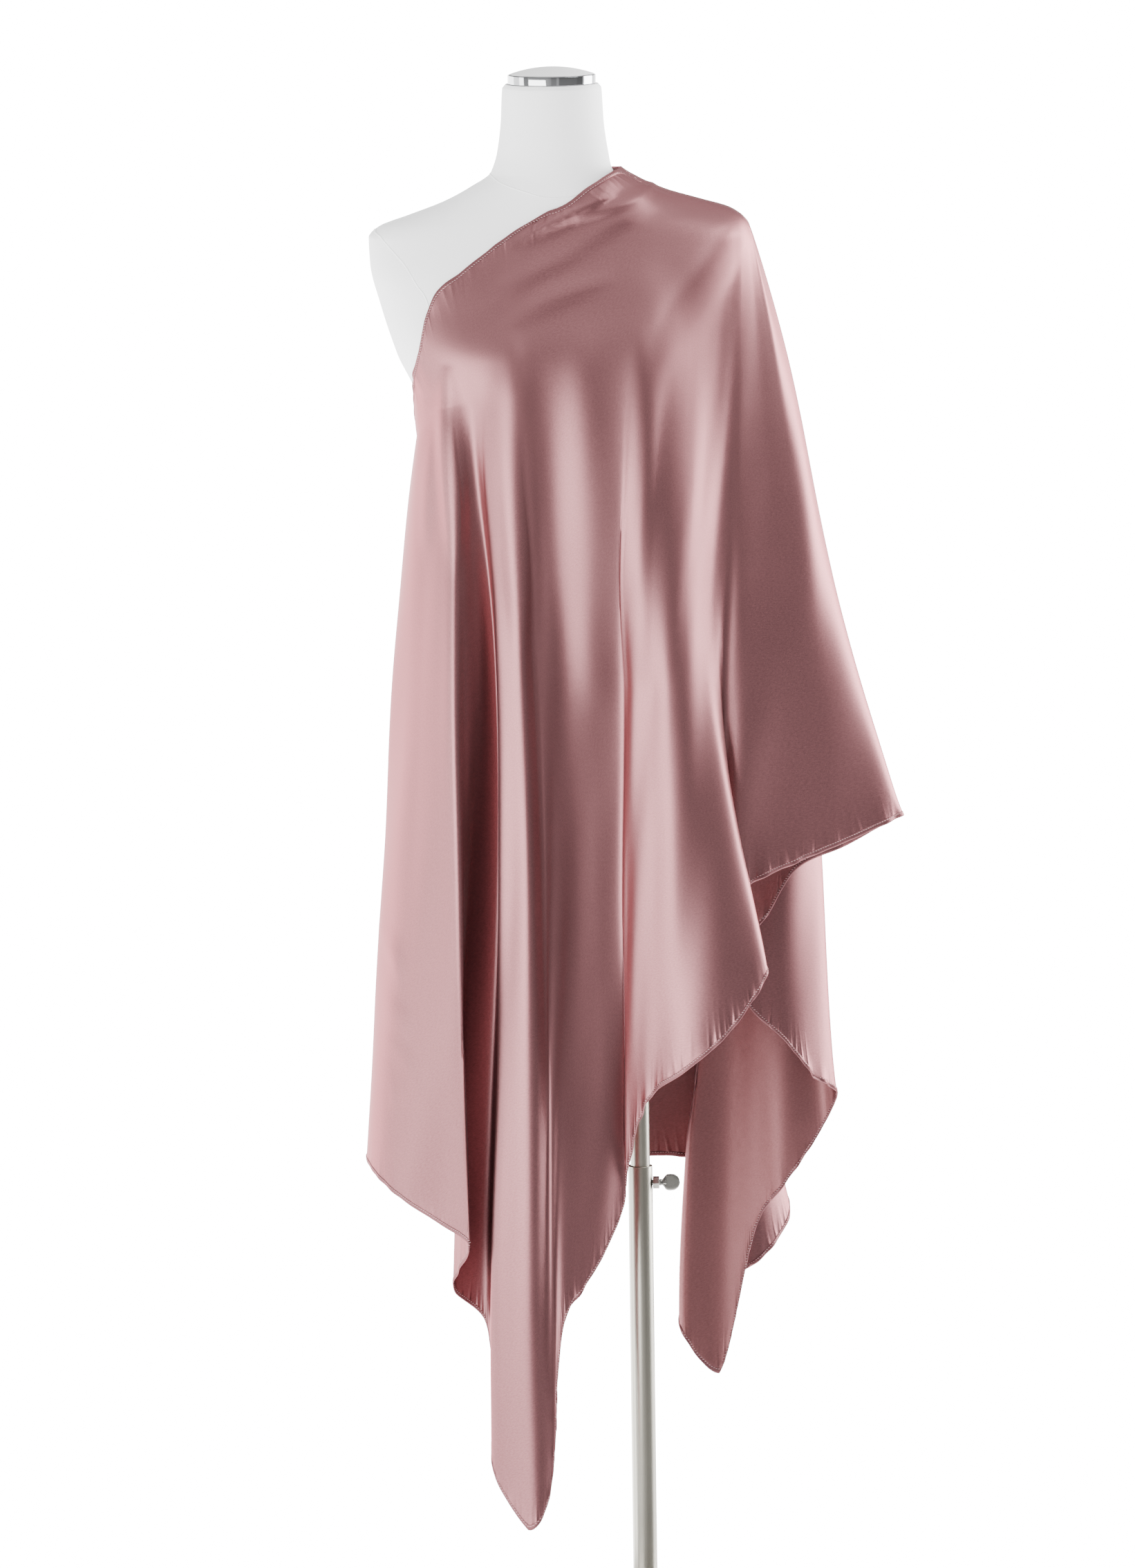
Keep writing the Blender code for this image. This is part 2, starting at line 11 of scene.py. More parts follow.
import bmesh
import bpy
import numpy as np
from mathutils import Matrix, Vector


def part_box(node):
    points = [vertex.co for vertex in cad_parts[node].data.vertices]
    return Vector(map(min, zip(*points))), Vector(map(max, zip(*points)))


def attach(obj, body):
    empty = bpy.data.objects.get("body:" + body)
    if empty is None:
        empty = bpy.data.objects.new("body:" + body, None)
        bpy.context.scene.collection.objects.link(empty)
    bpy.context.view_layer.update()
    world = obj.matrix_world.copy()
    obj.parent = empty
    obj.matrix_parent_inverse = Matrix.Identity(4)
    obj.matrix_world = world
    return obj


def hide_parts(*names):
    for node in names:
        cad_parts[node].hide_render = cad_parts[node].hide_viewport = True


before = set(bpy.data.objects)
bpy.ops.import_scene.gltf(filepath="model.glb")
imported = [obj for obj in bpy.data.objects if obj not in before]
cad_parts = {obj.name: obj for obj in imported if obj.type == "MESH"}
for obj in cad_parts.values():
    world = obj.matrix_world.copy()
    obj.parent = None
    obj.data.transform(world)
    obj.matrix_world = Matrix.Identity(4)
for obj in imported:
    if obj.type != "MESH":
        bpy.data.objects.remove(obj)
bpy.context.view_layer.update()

# Camera
CAMERA_EYE = (-0.069, -9.0, 2.20)
CAMERA_AIM = (-0.069, 0.0, 0.885)
CAMERA_ROLL = math.radians(-0.81)
CAMERA_LENS = 205

# Room round the form: the light of its upright panels by their turn from the camera's side towards
# +X, how much of them is seen at each height of sight, and the light of its ceiling and ground
ROOM_LIGHT = 20.0
ROOM_PANELS = (
    # (degrees, light) of each corner of the curve
    (-180, 8.0), (-119, 10.0), (-117, 4.0), (-95, 4.0), (-93, 10.0), (-80, 10.0), (-78, 0.5), (-66, 0.5),
    (-64, 0.9), (-16, 0.9), (-12, 0.9), (-2, 0.6), (0, 0.35), (12, 0.35), (14, 0.7), (18, 0.7),
    (20, 0.20), (69, 0.17), (71, 0.1), (89, 0.1), (94, 3.5), (129, 4.5), (132, 3.0), (180, 8.0),
)
# (height of sight, share seen), then (height of sight, light)
ROOM_WINDOW = ((-1.0, 0.0), (-0.7, 0.0), (-0.5, 1.0), (0.02, 1.0), (0.22, 0.0), (1.0, 0.0))
ROOM_COVER = ((-1.0, 14.0), (-0.78, 6.0), (-0.5, 0.3), (0.3, 0.1), (0.5, 0.9), (1.0, 2.0))
SOFTBOXES = (
    # name, turn, distance, height, size, radiance
    ("soft_left", -40, 3.0, 0.80, (2.60, 1.70), 14.0),
    ("soft_right", 114, 3.0, 1.45, (2.10, 2.60), 22.0),
    ("soft_high", 62, 2.5, 3.40, (1.60, 1.30), 10.0),
)
SOFTBOX_AIM = (-0.05, 0.0, 1.2)
FLOOR_GLOW = 16.0
FLOOR_REACH = 60.0

# Dress form: one row for each level, from its flat bottom to the rim of the neck, in millimetres
FORM_LEVELS = (
    # z, mid_x, half_width, front, back, square
    (776, -50, 146, 80, 100, 2.2), (786, -50, 151, 84, 105, 2.2),
    (860, -51, 156, 88, 112, 2.2), (920, -52, 155, 88, 112, 2.2),
    (1000, -58, 140, 86, 102, 2.2), (1100, -64, 119, 84, 88, 2.2),
    (1180, -68, 128, 96, 88, 2.2), (1250, -73, 140, 114, 94, 2.3),
    (1286, -75, 142, 120, 97, 2.3), (1328, -76, 159, 115, 100, 2.4),
    (1378, -76, 175, 95, 98, 2.5), (1420, -76, 185, 77, 89, 2.6),
    (1446, -76, 186, 65, 79, 2.6), (1456, -76, 176, 61, 74, 2.6),
    (1467, -76, 146, 58, 69, 2.5), (1480, -76, 111, 55, 64, 2.4),
    (1495, -76, 82, 53, 60, 2.2), (1509, -76, 62, 51, 56, 2.1),
    (1530, -75, 56, 50, 53, 2.0), (1560, -75, 52, 50, 51, 2.0),
    (1594, -75, 50, 50, 50, 2.0), (1598, -75, 47, 47, 47, 2.0),
)
FORM_COLUMNS = 176
FORM_ROWS = 230

# Seams of the form's cover, each by the turn and height of its points, front first
FORM_SEAMS = (
    # neckline
    (
        (-270, 1.503), (-225, 1.507), (-180, 1.508), (-156, 1.506), (-122, 1.498), (-106, 1.493),
        (-90, 1.487), (-74, 1.491), (-58, 1.497), (-24, 1.506), (0, 1.508), (45, 1.507), (90, 1.503),
    ),
    # armhole on the bare shoulder, front half, then the back half
    (
        (-178, 1.4545), (-160, 1.450), (-154, 1.446), (-145, 1.433), (-138, 1.419), (-134, 1.402),
        (-131, 1.386), (-132, 1.345), (-140, 1.300), (-156, 1.268), (-180, 1.252),
    ),
    (
        (182, 1.4545), (166, 1.450), (156, 1.446), (147, 1.433), (141, 1.419), (137, 1.402),
        (134, 1.386), (135, 1.345), (142, 1.300), (158, 1.268), (180, 1.252),
    ),
    # shoulder line, then the line down the middle of the back
    ((-178, 1.4555), (-178.5, 1.467), (-179, 1.480), (-180, 1.495), (-180, 1.507)),
    [(90, z) for z in (1.503, 1.450, 1.380, 1.300, 1.200, 1.100, 1.000, 0.900, 0.790)],
)
SEAM_HALF_WIDTH = 0.0009
SEAM_RISE = 0.0005
SEAM_SIDES = 8
SEAM_STEPS = 14

# Cloth, as in the solids: how far its middle lies off the form where it touches and where it falls
# beside it, how far it splays as it leaves the form, the height of its folds' middle places, how far
# below the form it still keeps clear of it, and the least share of the form's width that counts
CLOTH_OFF = 0.0023
FREE_OFF = 0.0032
START_SPLAY = 1.5
FREE_MID_Z = 1.05
FORM_REACH_BELOW = 0.010
NEAR_AXIS = 0.05

# Upper edge of the cloth round the form: its height at each turn and how far it stands off, in
# millimetres
UPPER_EDGE = (
    # turn, z, lift
    (-180, 1264, 1), (-169, 1291, 1), (-144, 1334, 0), (-132, 1375, 0), (-125, 1396, 0),
    (-114, 1415, 0), (-101, 1445, 0), (-90, 1475, 0), (-64, 1497, 1), (-25, 1507, 5),
    (0, 1510, 6), (25, 1507, 5), (64, 1494, 1), (90, 1468, 0), (108, 1436, 0),
    (125, 1396, 0), (144, 1336, 0), (169, 1285, 1), (180, 1264, 1),
)

# Where the cloth leaves the form and hangs free, and how far it stands off there, in millimetres
LEAVE_LINE = (
    # turn, z, lift
    (-180, 1240, 2), (-150, 1270, 0.5), (-120, 1285, 0.5), (-60, 1285, 1.2), (-40, 1325, 3.5),
    (-22, 1395, 7), (-10, 1438, 11), (0, 1450, 12.5), (10, 1438, 11), (22, 1400, 7),
    (40, 1350, 4.5), (60, 1315, 2.2), (120, 1300, 0.5), (150, 1275, 0.5), (180, 1240, 2),
)

# Fold lines of the cloth, in order round the form from its left side: the turn where each leaves
# the form, its place at FREE_MID_Z, and its end in the lower hem, in millimetres
FOLD_LINES = (
    # turn, mid_x, mid_y, hem_x, hem_y, hem_z
    # left side and the panel in front of it
    (-180, -239, 0, -279, 5, 498),
    (-163, -227, -52, -266, -42, 487),
    (-150, -211, -86, -238, -78, 468),
    (-142, -196, -112, -206, -106, 450),
    (-134, -182, -131, -174, -130, 432),
    # deep valley between the panel and the long tube fold
    (-130, -170, -124, -186, -100, 402),
    (-126, -158, -112, -193, -75, 376),
    (-122, -142, -100, -158, -58, 336),
    # tube fold, whose tip hangs lowest
    (-118, -137, -108, -150, -112, 262),
    (-115, -138, -118, -157, -135, 212),
    (-110, -127, -125, -142, -149, 176),
    (-106, -113, -130, -114, -161, 151),
    (-102, -102, -121, -95, -152, 190),
    (-99, -95, -117, -88, -149, 290),
    # second valley and the broad middle panel
    (-96, -85, -113, -79, -144, 358),
    (-91, -70, -109, -62, -134, 386),
    (-80, -43, -108, -37, -119, 425),
    (-69, -16, -106, -18, -105, 468),
    # step at the sharp crease, then the front right panel
    (-65, -8, -109, -14, -109, 505),
    (-60, 1, -115, -5, -121, 552),
    (-53, 16, -121, 13, -134, 588),
    (-45, 34, -127, 45, -149, 612),
    (-37, 50, -122, 91, -147, 652),
    (-30, 68, -106, 128, -128, 704),
    # folded back behind the front edge
    (-25, 82, -90, 118, -98, 716),
    (-20, 93, -81, 86, -80, 738),
    # sleeve-like fall from the shoulder, front
    (-15, 110, -79, 108, -82, 785),
    (-9, 143, -65, 157, -63, 808),
    (-4, 186, -48, 216, -44, 829),
    (1, 211, -23, 268, -19, 848),
    # the same fall, back layer
    (5, 212, 6, 264, 4, 844),
    (9, 194, 28, 215, 16, 815),
    (14, 166, 42, 164, 24, 790),
    (19, 143, 50, 131, 26, 738),
    (23, 134, 55, 98, 32, 702),
    # side panel
    (27, 137, 60, 113, 42, 647),
    (32, 144, 64, 152, 46, 607),
    (37, 154, 78, 180, 64, 567),
    # tail behind it
    (41, 161, 96, 203, 90, 545),
    (46, 154, 104, 190, 108, 505),
    (52, 130, 112, 150, 99, 447),
    (58, 102, 108, 120, 106, 402),
    (64, 73, 108, 83, 113, 262),
    (69, 48, 106, 43, 104, 292),
    # hidden layer behind the tail
    (73, 45, 122, 58, 146, 325),
    (77, 40, 130, 126, 142, 360),
    (81, 30, 142, 157, 178, 405),
    (85, 14, 147, 124, 188, 440),
    # back panel
    (91, -8, 140, 45, 184, 462),
    (99, -50, 132, -30, 172, 466),
    (110, -92, 150, -90, 190, 472),
    (121, -132, 122, -140, 150, 476),
    (133, -170, 128, -188, 158, 482),
    (147, -200, 88, -228, 106, 488),
    (159, -229, 72, -262, 84, 493),
    (170, -236, 36, -273, 44, 497),
)
FOLD_COUNT = len(FOLD_LINES)

# Creases of the cloth: the folds they lie between, their half width and height, and the (x, z) line
# that each follows on the front or the back, in millimetres
CREASES = (
    # first_fold, last_fold, half_width, height, line
    # tops of the folds that hang from the bust, and the broad fall right of them
    (-4, 11, 14, 11, ((-184, 1325), (-181, 1285), (-179, 1240), (-178, 1185), (-177, 1120))),
    (3, 20, 26, 12, ((-122, 1365), (-119, 1290), (-117, 1220), (-113, 1140), (-110, 1050))),
    (8, 25, 28, 8, ((-50, 1365), (-47, 1270), (-45, 1170), (-43, 1070), (-40, 970))),
    (12, 26, 14, 5.2, ((5, 1368), (7, 1290), (8, 1200), (6, 1080))),
    (10, 30, 46, 18, ((20, 1420), (18, 1320), (16, 1220), (13, 1110), (10, 1000))),
    # drawn up to the neck on the shoulder
    (7, 28, 6, 8.5, ((-5, 1504), (-27, 1486), (-79, 1459), (-122, 1440))),
    (10, 32, 5.6, 6, ((30, 1497), (10, 1485), (-22, 1474), (-60, 1462))),
    (10, 30, 4, 4, ((-10, 1511), (-30, 1497), (-62, 1479))),
    (12, 30, 10, 3.6, ((40, 1488), (0, 1470), (-50, 1440), (-110, 1405))),
    (7, 24, 9, 2.4, ((-43, 1436), (-103, 1411), (-153, 1385))),
    (7, 23, 9.5, 4.4, ((-10, 1412), (-58, 1396), (-95, 1380), (-130, 1360))),
    (14, 30, 20, 3.4, ((110, 1466), (79, 1428), (42, 1386), (10, 1345))),
    # beside the hem under the arm
    (-2, 7, 8, 3, ((-199, 1255), (-203, 1203), (-210, 1132))),
    # soft handling marks low on the left panel
    (-4, 8, 6.6, 2.6, ((-261, 673), (-238, 657), (-228, 641))),
    (-4, 8, 6, 2.4, ((-258, 640), (-236, 618), (-219, 575))),
    (-4, 8, 5.6, 2, ((-256, 572), (-240, 586), (-222, 588))),
    (-4, 8, 7.6, 2, ((-262, 745), (-245, 720), (-238, 690))),
    # left side of the tail
    (36, 47, 21, 8, ((68, 700), (62, 650), (52, 585), (47, 500))),
    # the hidden side
    (42, 54, 7, 3.5, ((-10, 1500), (-50, 1462), (-110, 1420), (-160, 1370))),
    (40, 52, 6, 3, ((30, 1492), (0, 1455), (-45, 1415), (-80, 1360))),
    (36, 50, 10, 3.6, ((90, 1455), (60, 1400), (20, 1340), (0, 1260))),
    (46, 56, 9, 3, ((-60, 1395), (-110, 1350), (-150, 1310))),
    (48, 56, 7, 1.8, ((-110, 820), (-85, 780), (-70, 730))),
    (48, 57, 6, 1.5, ((-180, 640), (-160, 600), (-150, 560))),
    (40, 52, 8, 1.8, ((30, 700), (10, 650), (0, 600))),
)
# points along a crease, the folds over which it fades at its first and last one, and its tips' width
CREASE_SAMPLES = 16
CREASE_FADE = 3.0
CREASE_TIP = 0.45

# Corners of the square in the lower hem: the fold of each, how far it is drawn down to a point, and
# over how many folds
CORNERS = (
    # fold, drop, reach
    (10.80, 0.007, 0.55),
    (42.05, 0.014, 0.34),
)
CORNER_FALL = 26

# Soft unevenness of the whole cloth, as waves round it and down it
RIPPLES = (
    # waves_round, waves_down, shift, height
    (7, 1.3, 0.4, 0.0016),
    (11, 0.7, 2.1, 0.0012),
    (17, 2.2, 4.0, 0.0008),
    (29, 3.1, 1.2, 0.0005),
)

# Puckers along the hems: the waves that make them, how far in they reach, and how they come and go
PUCKERS = (
    # length, height, shift
    (0.0350, 0.00120, 0.3),
    (0.0270, 0.00110, 1.9),
    (0.0215, 0.00080, 4.4),
)
PUCKER_REACH = 0.012
PUCKER_FOLDS = (
    # (fold, share of the full height) along the lower hem
    (0, 0.35), (8, 0.30), (14, 0.50), (19, 1.00), (24, 1.00), (27, 1.20), (35, 1.50), (38, 1.40),
    (44, 0.70), (52, 0.60), (56, 0.35),
)
PUCKER_UPPER = 0.4
PUCKER_CALM = 0.190
PUCKER_STEADY = 0.6
GATHER_REACH = 0.010
GATHER_RISE = 0.0018

# Grid of the cloth: columns round it, closer on the folds that show, and rows down it, which are
# those on the form, those below it, and those from HEM_ZONE to the hem
FINE_STEPS = 24
CLOTH_COLUMNS = 440
ROWS_ON_FORM = 36
ROWS_FREE = 56
ROWS_HEM = 12
HEM_ZONE = 0.94
VISIBLE_FOLDS = 34
BACK_SPACING = 0.6
CLOTH_THICK = 0.0009

# Easing of the bend where the cloth leaves the form: its middle fold, its reach in folds and rows
EASE_FOLD = 18
EASE_FOLDS = 5.5
EASE_ROWS = 6.5
EASE_PASSES = 30

# Turned hem: how far in from the edge and how far off the cloth's middle each corner of its front
# half lies; the back half mirrors it
HEM_FRONT = (
    # inset, rise
    (0.0050, 0.00045), (0.0046, 0.00080), (0.0030, 0.00090), (0.0012, 0.00085), (0.0002, 0.00055),
)
HEM_EDGE = (-0.0003, 0.0)
HEM_SECTION = (*HEM_FRONT, HEM_EDGE, *((inset, -rise) for inset, rise in reversed(HEM_FRONT)))
HEM_STEP = 0.0032
STITCH_PITCH = 0.0028
STITCH_LENGTH = 0.0020
STITCH_RADIUS = 0.00028
STITCH_INSET = 0.0038
STITCH_RISE = 0.0009
STITCH_SECTIONS = (
    # share of the length, share of the radius
    (-0.50, 0.00), (-0.36, 0.75), (0.00, 1.00), (0.36, 0.75), (0.50, 0.00),
)
STITCH_SIDES = 5

# Cap on the neck: its band, and the dome in it
CAP_SIDES = 160
CAP_HOLE = 0.010
CAP_BAND_HEIGHT = 0.009
CAP_BAND_ROUND = 0.0005
CAP_LIP = 0.0012
DOME_RINGS = 24
DOME_SINK = 0.0004

# Stand
TUBE_SIDES = 96
TUBE_ROUND = 0.0004
TUBES = (
    # name, node, inner_radius, steel, body
    ("outer_tube_steel", "outer_tube", 0.0105, "tube_steel", "stand"),
    ("inner_tube_steel", "inner_tube", 0.0085, "tube_steel", "pole"),
    ("base_hub_steel", "base_hub", 0.0128, "turned_steel", "stand"),
    ("form_flange_steel", "form_socket", 0.0103, "turned_steel", "form"),
)
BASE_SIDES = 192
BASE_EDGE = 0.003
EDGE_STEPS = 3
CLAMP_HEIGHT = 0.471
NUT_HOLE = 0.0030
NUT_ROUND = 0.0006
SHANK_RADIUS = 0.0027
SHANK_LENGTH = 0.016
SHANK_ROUND = 0.0003
SHANK_SIDES = 48
GRIP_FINE = 40
GRIP_POWER = 0.75
GRIP_SECTIONS = (
    # x, half_height, half_thick
    (0.0195, 0.0000, 0.0000), (0.0196, 0.0030, 0.0030), (0.0206, 0.0034, 0.0034),
    (0.0222, 0.0030, 0.0030), (0.0236, 0.0042, 0.0025), (0.0252, 0.0066, 0.0018),
    (0.0270, 0.0082, 0.0015), (0.0300, 0.0088, 0.0015), (0.0335, 0.0086, 0.0015),
    (0.0370, 0.0072, 0.0015), (0.0394, 0.0046, 0.0015), (0.0403, 0.0020, 0.0014),
    (0.0405, 0.0000, 0.0000),
)

# Finishes
SATINS = (
    # name, pale, deep, roughness, speckle, metal
    ("satin_face", (0.322, 0.140, 0.148), (0.136, 0.056, 0.060), 0.44, 1.0, 0.93),
    ("satin_back", (0.290, 0.122, 0.126), (0.180, 0.070, 0.073), 0.50, 1.5, 0.85),
    # the hem's satin is a darker copy of the face satin: its pale and deep colours are painted shade,
    # which tones down the highlights on the rounded turned edge
    ("satin_hem_painted_shade", (0.215, 0.090, 0.096), (0.135, 0.056, 0.060), 0.52, 1.0, 0.90),
)
STEELS = (
    # name, tint, grain, roughness
    ("tube_steel", (0.42, 0.40, 0.345), (1300, 1300, 4), 0.34),
    ("plate_steel", (0.42, 0.41, 0.39), (900, 8, 8), 0.38),
    ("turned_steel", (0.27, 0.262, 0.24), (300, 300, 900), 0.30),
)


def columns_of(table):
    """The table's columns as float arrays."""
    return np.array(table, dtype=float).T


def in_metres(table, plain=0):
    """The table's columns with its millimetres made metres, but for one plain column."""
    columns = columns_of(table)
    scale = np.full((len(columns), 1), 1000.0)
    scale[plain] = 1
    return columns / scale


def slopes(knots, values):
    """Slopes that never overshoot: the harmonic mean of the two chords, or 0 at a turning point."""
    chord = np.diff(values, axis=0) / np.diff(knots)[:, None]
    before, after = chord[:-1], chord[1:]
    product = before * after
    mean = 2 * product / np.where(product > 0, before + after, 1.0)
    inner = np.where(product > 0, mean, 0.0)
    return np.concatenate([chord[:1], inner, chord[-1:]])


def rounded_slopes(knots, values):
    """Slopes that round every turning point: the chord between each knot's two neighbours."""
    middle = (values[2:] - values[:-2]) / (knots[2:] - knots[:-2])[:, None]
    return np.concatenate([middle[:1], middle, middle[-1:]])


def through(knots, values, at, slope_rule=slopes):
    """A smooth curve through the values at the knots, read at the places in at."""
    knots = np.asarray(knots, float)
    values = np.asarray(values, float)
    flat = values.ndim == 1
    if flat:
        values = values[:, None]
    tangent = slope_rule(knots, values)
    at = np.asarray(at, float)
    cell = np.clip(np.searchsorted(knots, at, side="right") - 1, 0, len(knots) - 2)
    step = (knots[cell + 1] - knots[cell])[..., None]
    s = (at[..., None] - knots[cell][..., None]) / step
    found = hermite(values[cell], values[cell + 1], tangent[cell] * step, tangent[cell + 1] * step, s)
    return found[..., 0] if flat else found


def hermite(first, last, slope_first, slope_last, s):
    """Cubic from first to last, with these slopes at its ends, read at s from 0 to 1."""
    return (
        first * (1 + 2 * s) * (1 - s) ** 2
        + last * s**2 * (3 - 2 * s)
        + slope_first * s * (1 - s) ** 2
        - slope_last * s**2 * (1 - s)
    )


def runs_of(steps):
    """Distance run up to each point, from the steps between them."""
    return np.concatenate([[0], np.cumsum(steps)])


def folds_between(fold, middle):
    """How many folds lie between these and the middle one, the short way round."""
    return np.abs(np.mod(fold - middle + FOLD_COUNT / 2, FOLD_COUNT) - FOLD_COUNT / 2)


def unit(vectors):
    return vectors / np.linalg.norm(vectors, axis=-1, keepdims=True)


def form_level(z):
    """The form's measures at these heights, each as an array."""
    levels = in_metres(FORM_LEVELS, -1)
    return np.moveaxis(through(levels[0], levels[1:].T, z), -1, 0)


def form_point(turn, z):
    """Point on the dress form at this turn, in degrees from +X, and this height.

    Each level is a superellipse: half_width across, front or back deep, with the level's squareness.
    """
    mid_x, half_width, front, back, square = form_level(z)
    across = np.cos(np.radians(turn))
    along = np.sin(np.radians(turn))
    power = 2 / square
    x = mid_x + half_width * np.sign(across) * np.abs(across) ** power
    y = np.where(along < 0, front, back) * np.sign(along) * np.abs(along) ** power
    return np.stack([x, y, z + 0 * x], axis=-1)


def form_normal(turn, z, step=1e-3):
    """Outward normal of the dress form, from two small steps on it."""
    round_it = form_point(turn + 40 * step, z) - form_point(turn - 40 * step, z)
    up = form_point(turn, z + step) - form_point(turn, z - step)
    return unit(np.cross(round_it, up))


def level_runs(step=0.001):
    """Heights up the form, and the distance run along its side outline to each."""
    levels = in_metres(FORM_LEVELS, -1)
    z = np.arange(levels[0][0], levels[0][-1], step)
    outline = through(levels[0], levels[2], z)
    return z, runs_of(np.hypot(np.diff(z), np.diff(outline)))


def clear_of_form(points):
    """The points, with any that lie in the form or within FREE_OFF of it moved out on their level."""
    bottom, top = in_metres(FORM_LEVELS, -1)[0, [0, -1]]
    mid_x, half_width, front, back, square = form_level(np.clip(points[..., 2], bottom, top))
    dx = points[..., 0] - mid_x
    dy = points[..., 1]
    depth = np.where(dy < 0, front, back) + FREE_OFF
    across = half_width + FREE_OFF
    reach = (np.abs(dx / across) ** square + np.abs(dy / depth) ** square) ** (1 / square)
    beside = points[..., 2] > bottom - FORM_REACH_BELOW
    grow = np.where(beside & (reach < 1), 1 / np.maximum(reach, NEAR_AXIS), 1.0)
    moved = points.copy()
    moved[..., 0] = mid_x + dx * grow
    moved[..., 1] = dy * grow
    return moved


def drape_point(fold, fall):
    """Point of the draped cloth before its creases.

    Up to fall 0 the point lies on the form, moved out along its normal. From there it follows a
    cubic from the leaving point through the fold line's place at FREE_MID_Z to its place in the hem,
    at a height that falls evenly.
    """
    rows = in_metres(FOLD_LINES).T
    whole_turn = np.array([360, 0, 0, 0, 0, 0])
    table = np.concatenate([rows[-3:] - whole_turn, rows, rows[:3] + whole_turn])
    knots = np.arange(-3, FOLD_COUNT + 3)
    at = np.mod(fold, FOLD_COUNT)
    found = np.moveaxis(through(knots, table, at, rounded_slopes), -1, 0)
    turn, mid_x, mid_y, hem_x, hem_y, hem_z = found
    edge_turn, edge_z, edge_lift = in_metres(UPPER_EDGE)
    leave_turn, leave_z, leave_lift = in_metres(LEAVE_LINE)
    wrapped = np.mod(turn + 180, 360) - 180
    top_z = through(edge_turn, edge_z, wrapped)
    off_z = through(leave_turn, leave_z, wrapped)
    lift = through(leave_turn, leave_lift, wrapped)
    top_lift = through(edge_turn, edge_lift, wrapped)

    level_z, level_run = level_runs()
    top_run = np.interp(top_z, level_z, level_run)
    off_run = np.interp(off_z, level_z, level_run)
    climbed = -np.clip(fall, -1, 0)
    z = np.interp(off_run + (top_run - off_run) * climbed, level_run, level_z)
    share = (1 - climbed) ** 2 * (1 + 2 * climbed)
    stand_off = CLOTH_OFF + lift * share + top_lift * (1 - share)
    upper = form_point(turn, z) + stand_off[..., None] * form_normal(turn, z)

    start = form_point(turn, off_z) + (CLOTH_OFF + lift)[..., None] * form_normal(turn, off_z)
    s = np.clip(fall, 0, 1)
    knee = (off_z - FREE_MID_Z) / (off_z - hem_z)
    free = []
    for first, middle, last in ((start[..., 0], mid_x, hem_x), (start[..., 1], mid_y, hem_y)):
        early = (middle - first) / knee
        late = (last - middle) / (1 - knee)
        slope_start = START_SPLAY * early * np.cos(np.radians(turn)) ** 2
        slope_knee = early * (1 - knee) + late * knee
        a = np.clip(s / knee, 0, 1)
        b = np.clip((s - knee) / (1 - knee), 0, 1)
        above = hermite(first, middle, slope_start * knee, slope_knee * knee, a)
        below = hermite(middle, last, slope_knee * (1 - knee), late * (1 - knee), b)
        free.append(np.where(s < knee, above, below))
    free.append(start[..., 2] + s * (hem_z - start[..., 2]))
    lower = clear_of_form(np.stack(free, axis=-1))
    return np.where((fall <= 0)[..., None], upper, lower)


def normal_of(surface, fold, fall, fold_step=0.02, fall_step=0.004):
    """Outward normal of a cloth surface, from small steps along and down it."""
    along = surface(fold + fold_step, fall) - surface(fold - fold_step, fall)
    upper = np.clip(fall - fall_step, -1, 1)
    lower = np.clip(fall + fall_step, -1, 1)
    return unit(np.cross(along, surface(fold, upper) - surface(fold, lower)))


def crease_lift(points, fold):
    """How far the creases lift these points of the cloth.

    Each crease is a ridge along its line: the height falls off across it as a bell curve, and along
    it as half a sine wave, and the ridge narrows to CREASE_TIP of its width at both ends. It only
    reaches the folds that it lies between.
    """
    lift = np.zeros(points.shape[:-1])
    for first_fold, last_fold, half_width, height, line in CREASES:
        line = np.array(line) / 1000
        knots = np.arange(len(line))
        path = through(knots, line, np.linspace(0, len(line) - 1, CREASE_SAMPLES), rounded_slopes)
        away = folds_between(fold, (first_fold + last_fold) / 2)
        inside = np.clip(((last_fold - first_fold) / 2 - away) / CREASE_FADE, 0, 1)
        inside = inside**2 * (3 - 2 * inside)
        nearest = np.full(lift.shape, np.inf)
        place = np.zeros(lift.shape)
        for index, (start, end) in enumerate(zip(path[:-1], path[1:])):
            run = end - start
            offset = points[..., ::2] - start
            share = np.clip(offset @ run / (run @ run), 0, 1)
            distance = np.linalg.norm(offset - share[..., None] * run, axis=-1)
            closer = distance < nearest
            nearest = np.where(closer, distance, nearest)
            place = np.where(closer, index + share, place)
        along = np.sin(np.pi * place / (CREASE_SAMPLES - 1))
        width = half_width / 1000 * (CREASE_TIP + (1 - CREASE_TIP) * along)
        lift += inside * height / 1000 * along * np.exp(-((nearest / width) ** 2))
    return lift


def hem_runs(fall):
    """Fine folds round the cloth, and the distance along its edge at this fall to each."""
    fine = np.linspace(0, FOLD_COUNT, FOLD_COUNT * FINE_STEPS + 1)
    edge = drape_point(fine, fall + 0 * fine)
    return fine, runs_of(np.linalg.norm(np.diff(edge, axis=0), axis=-1))


LOWER_RUN = hem_runs(1.0)
UPPER_RUN = hem_runs(-1.0)


def fall_length(fold, edge, step=0.01):
    """Length of cloth for each unit of fall, at its upper or lower edge."""
    inner = drape_point(fold, edge * (1 - step) + 0 * fold)
    return np.linalg.norm(drape_point(fold, edge + 0 * fold) - inner, axis=-1) / step


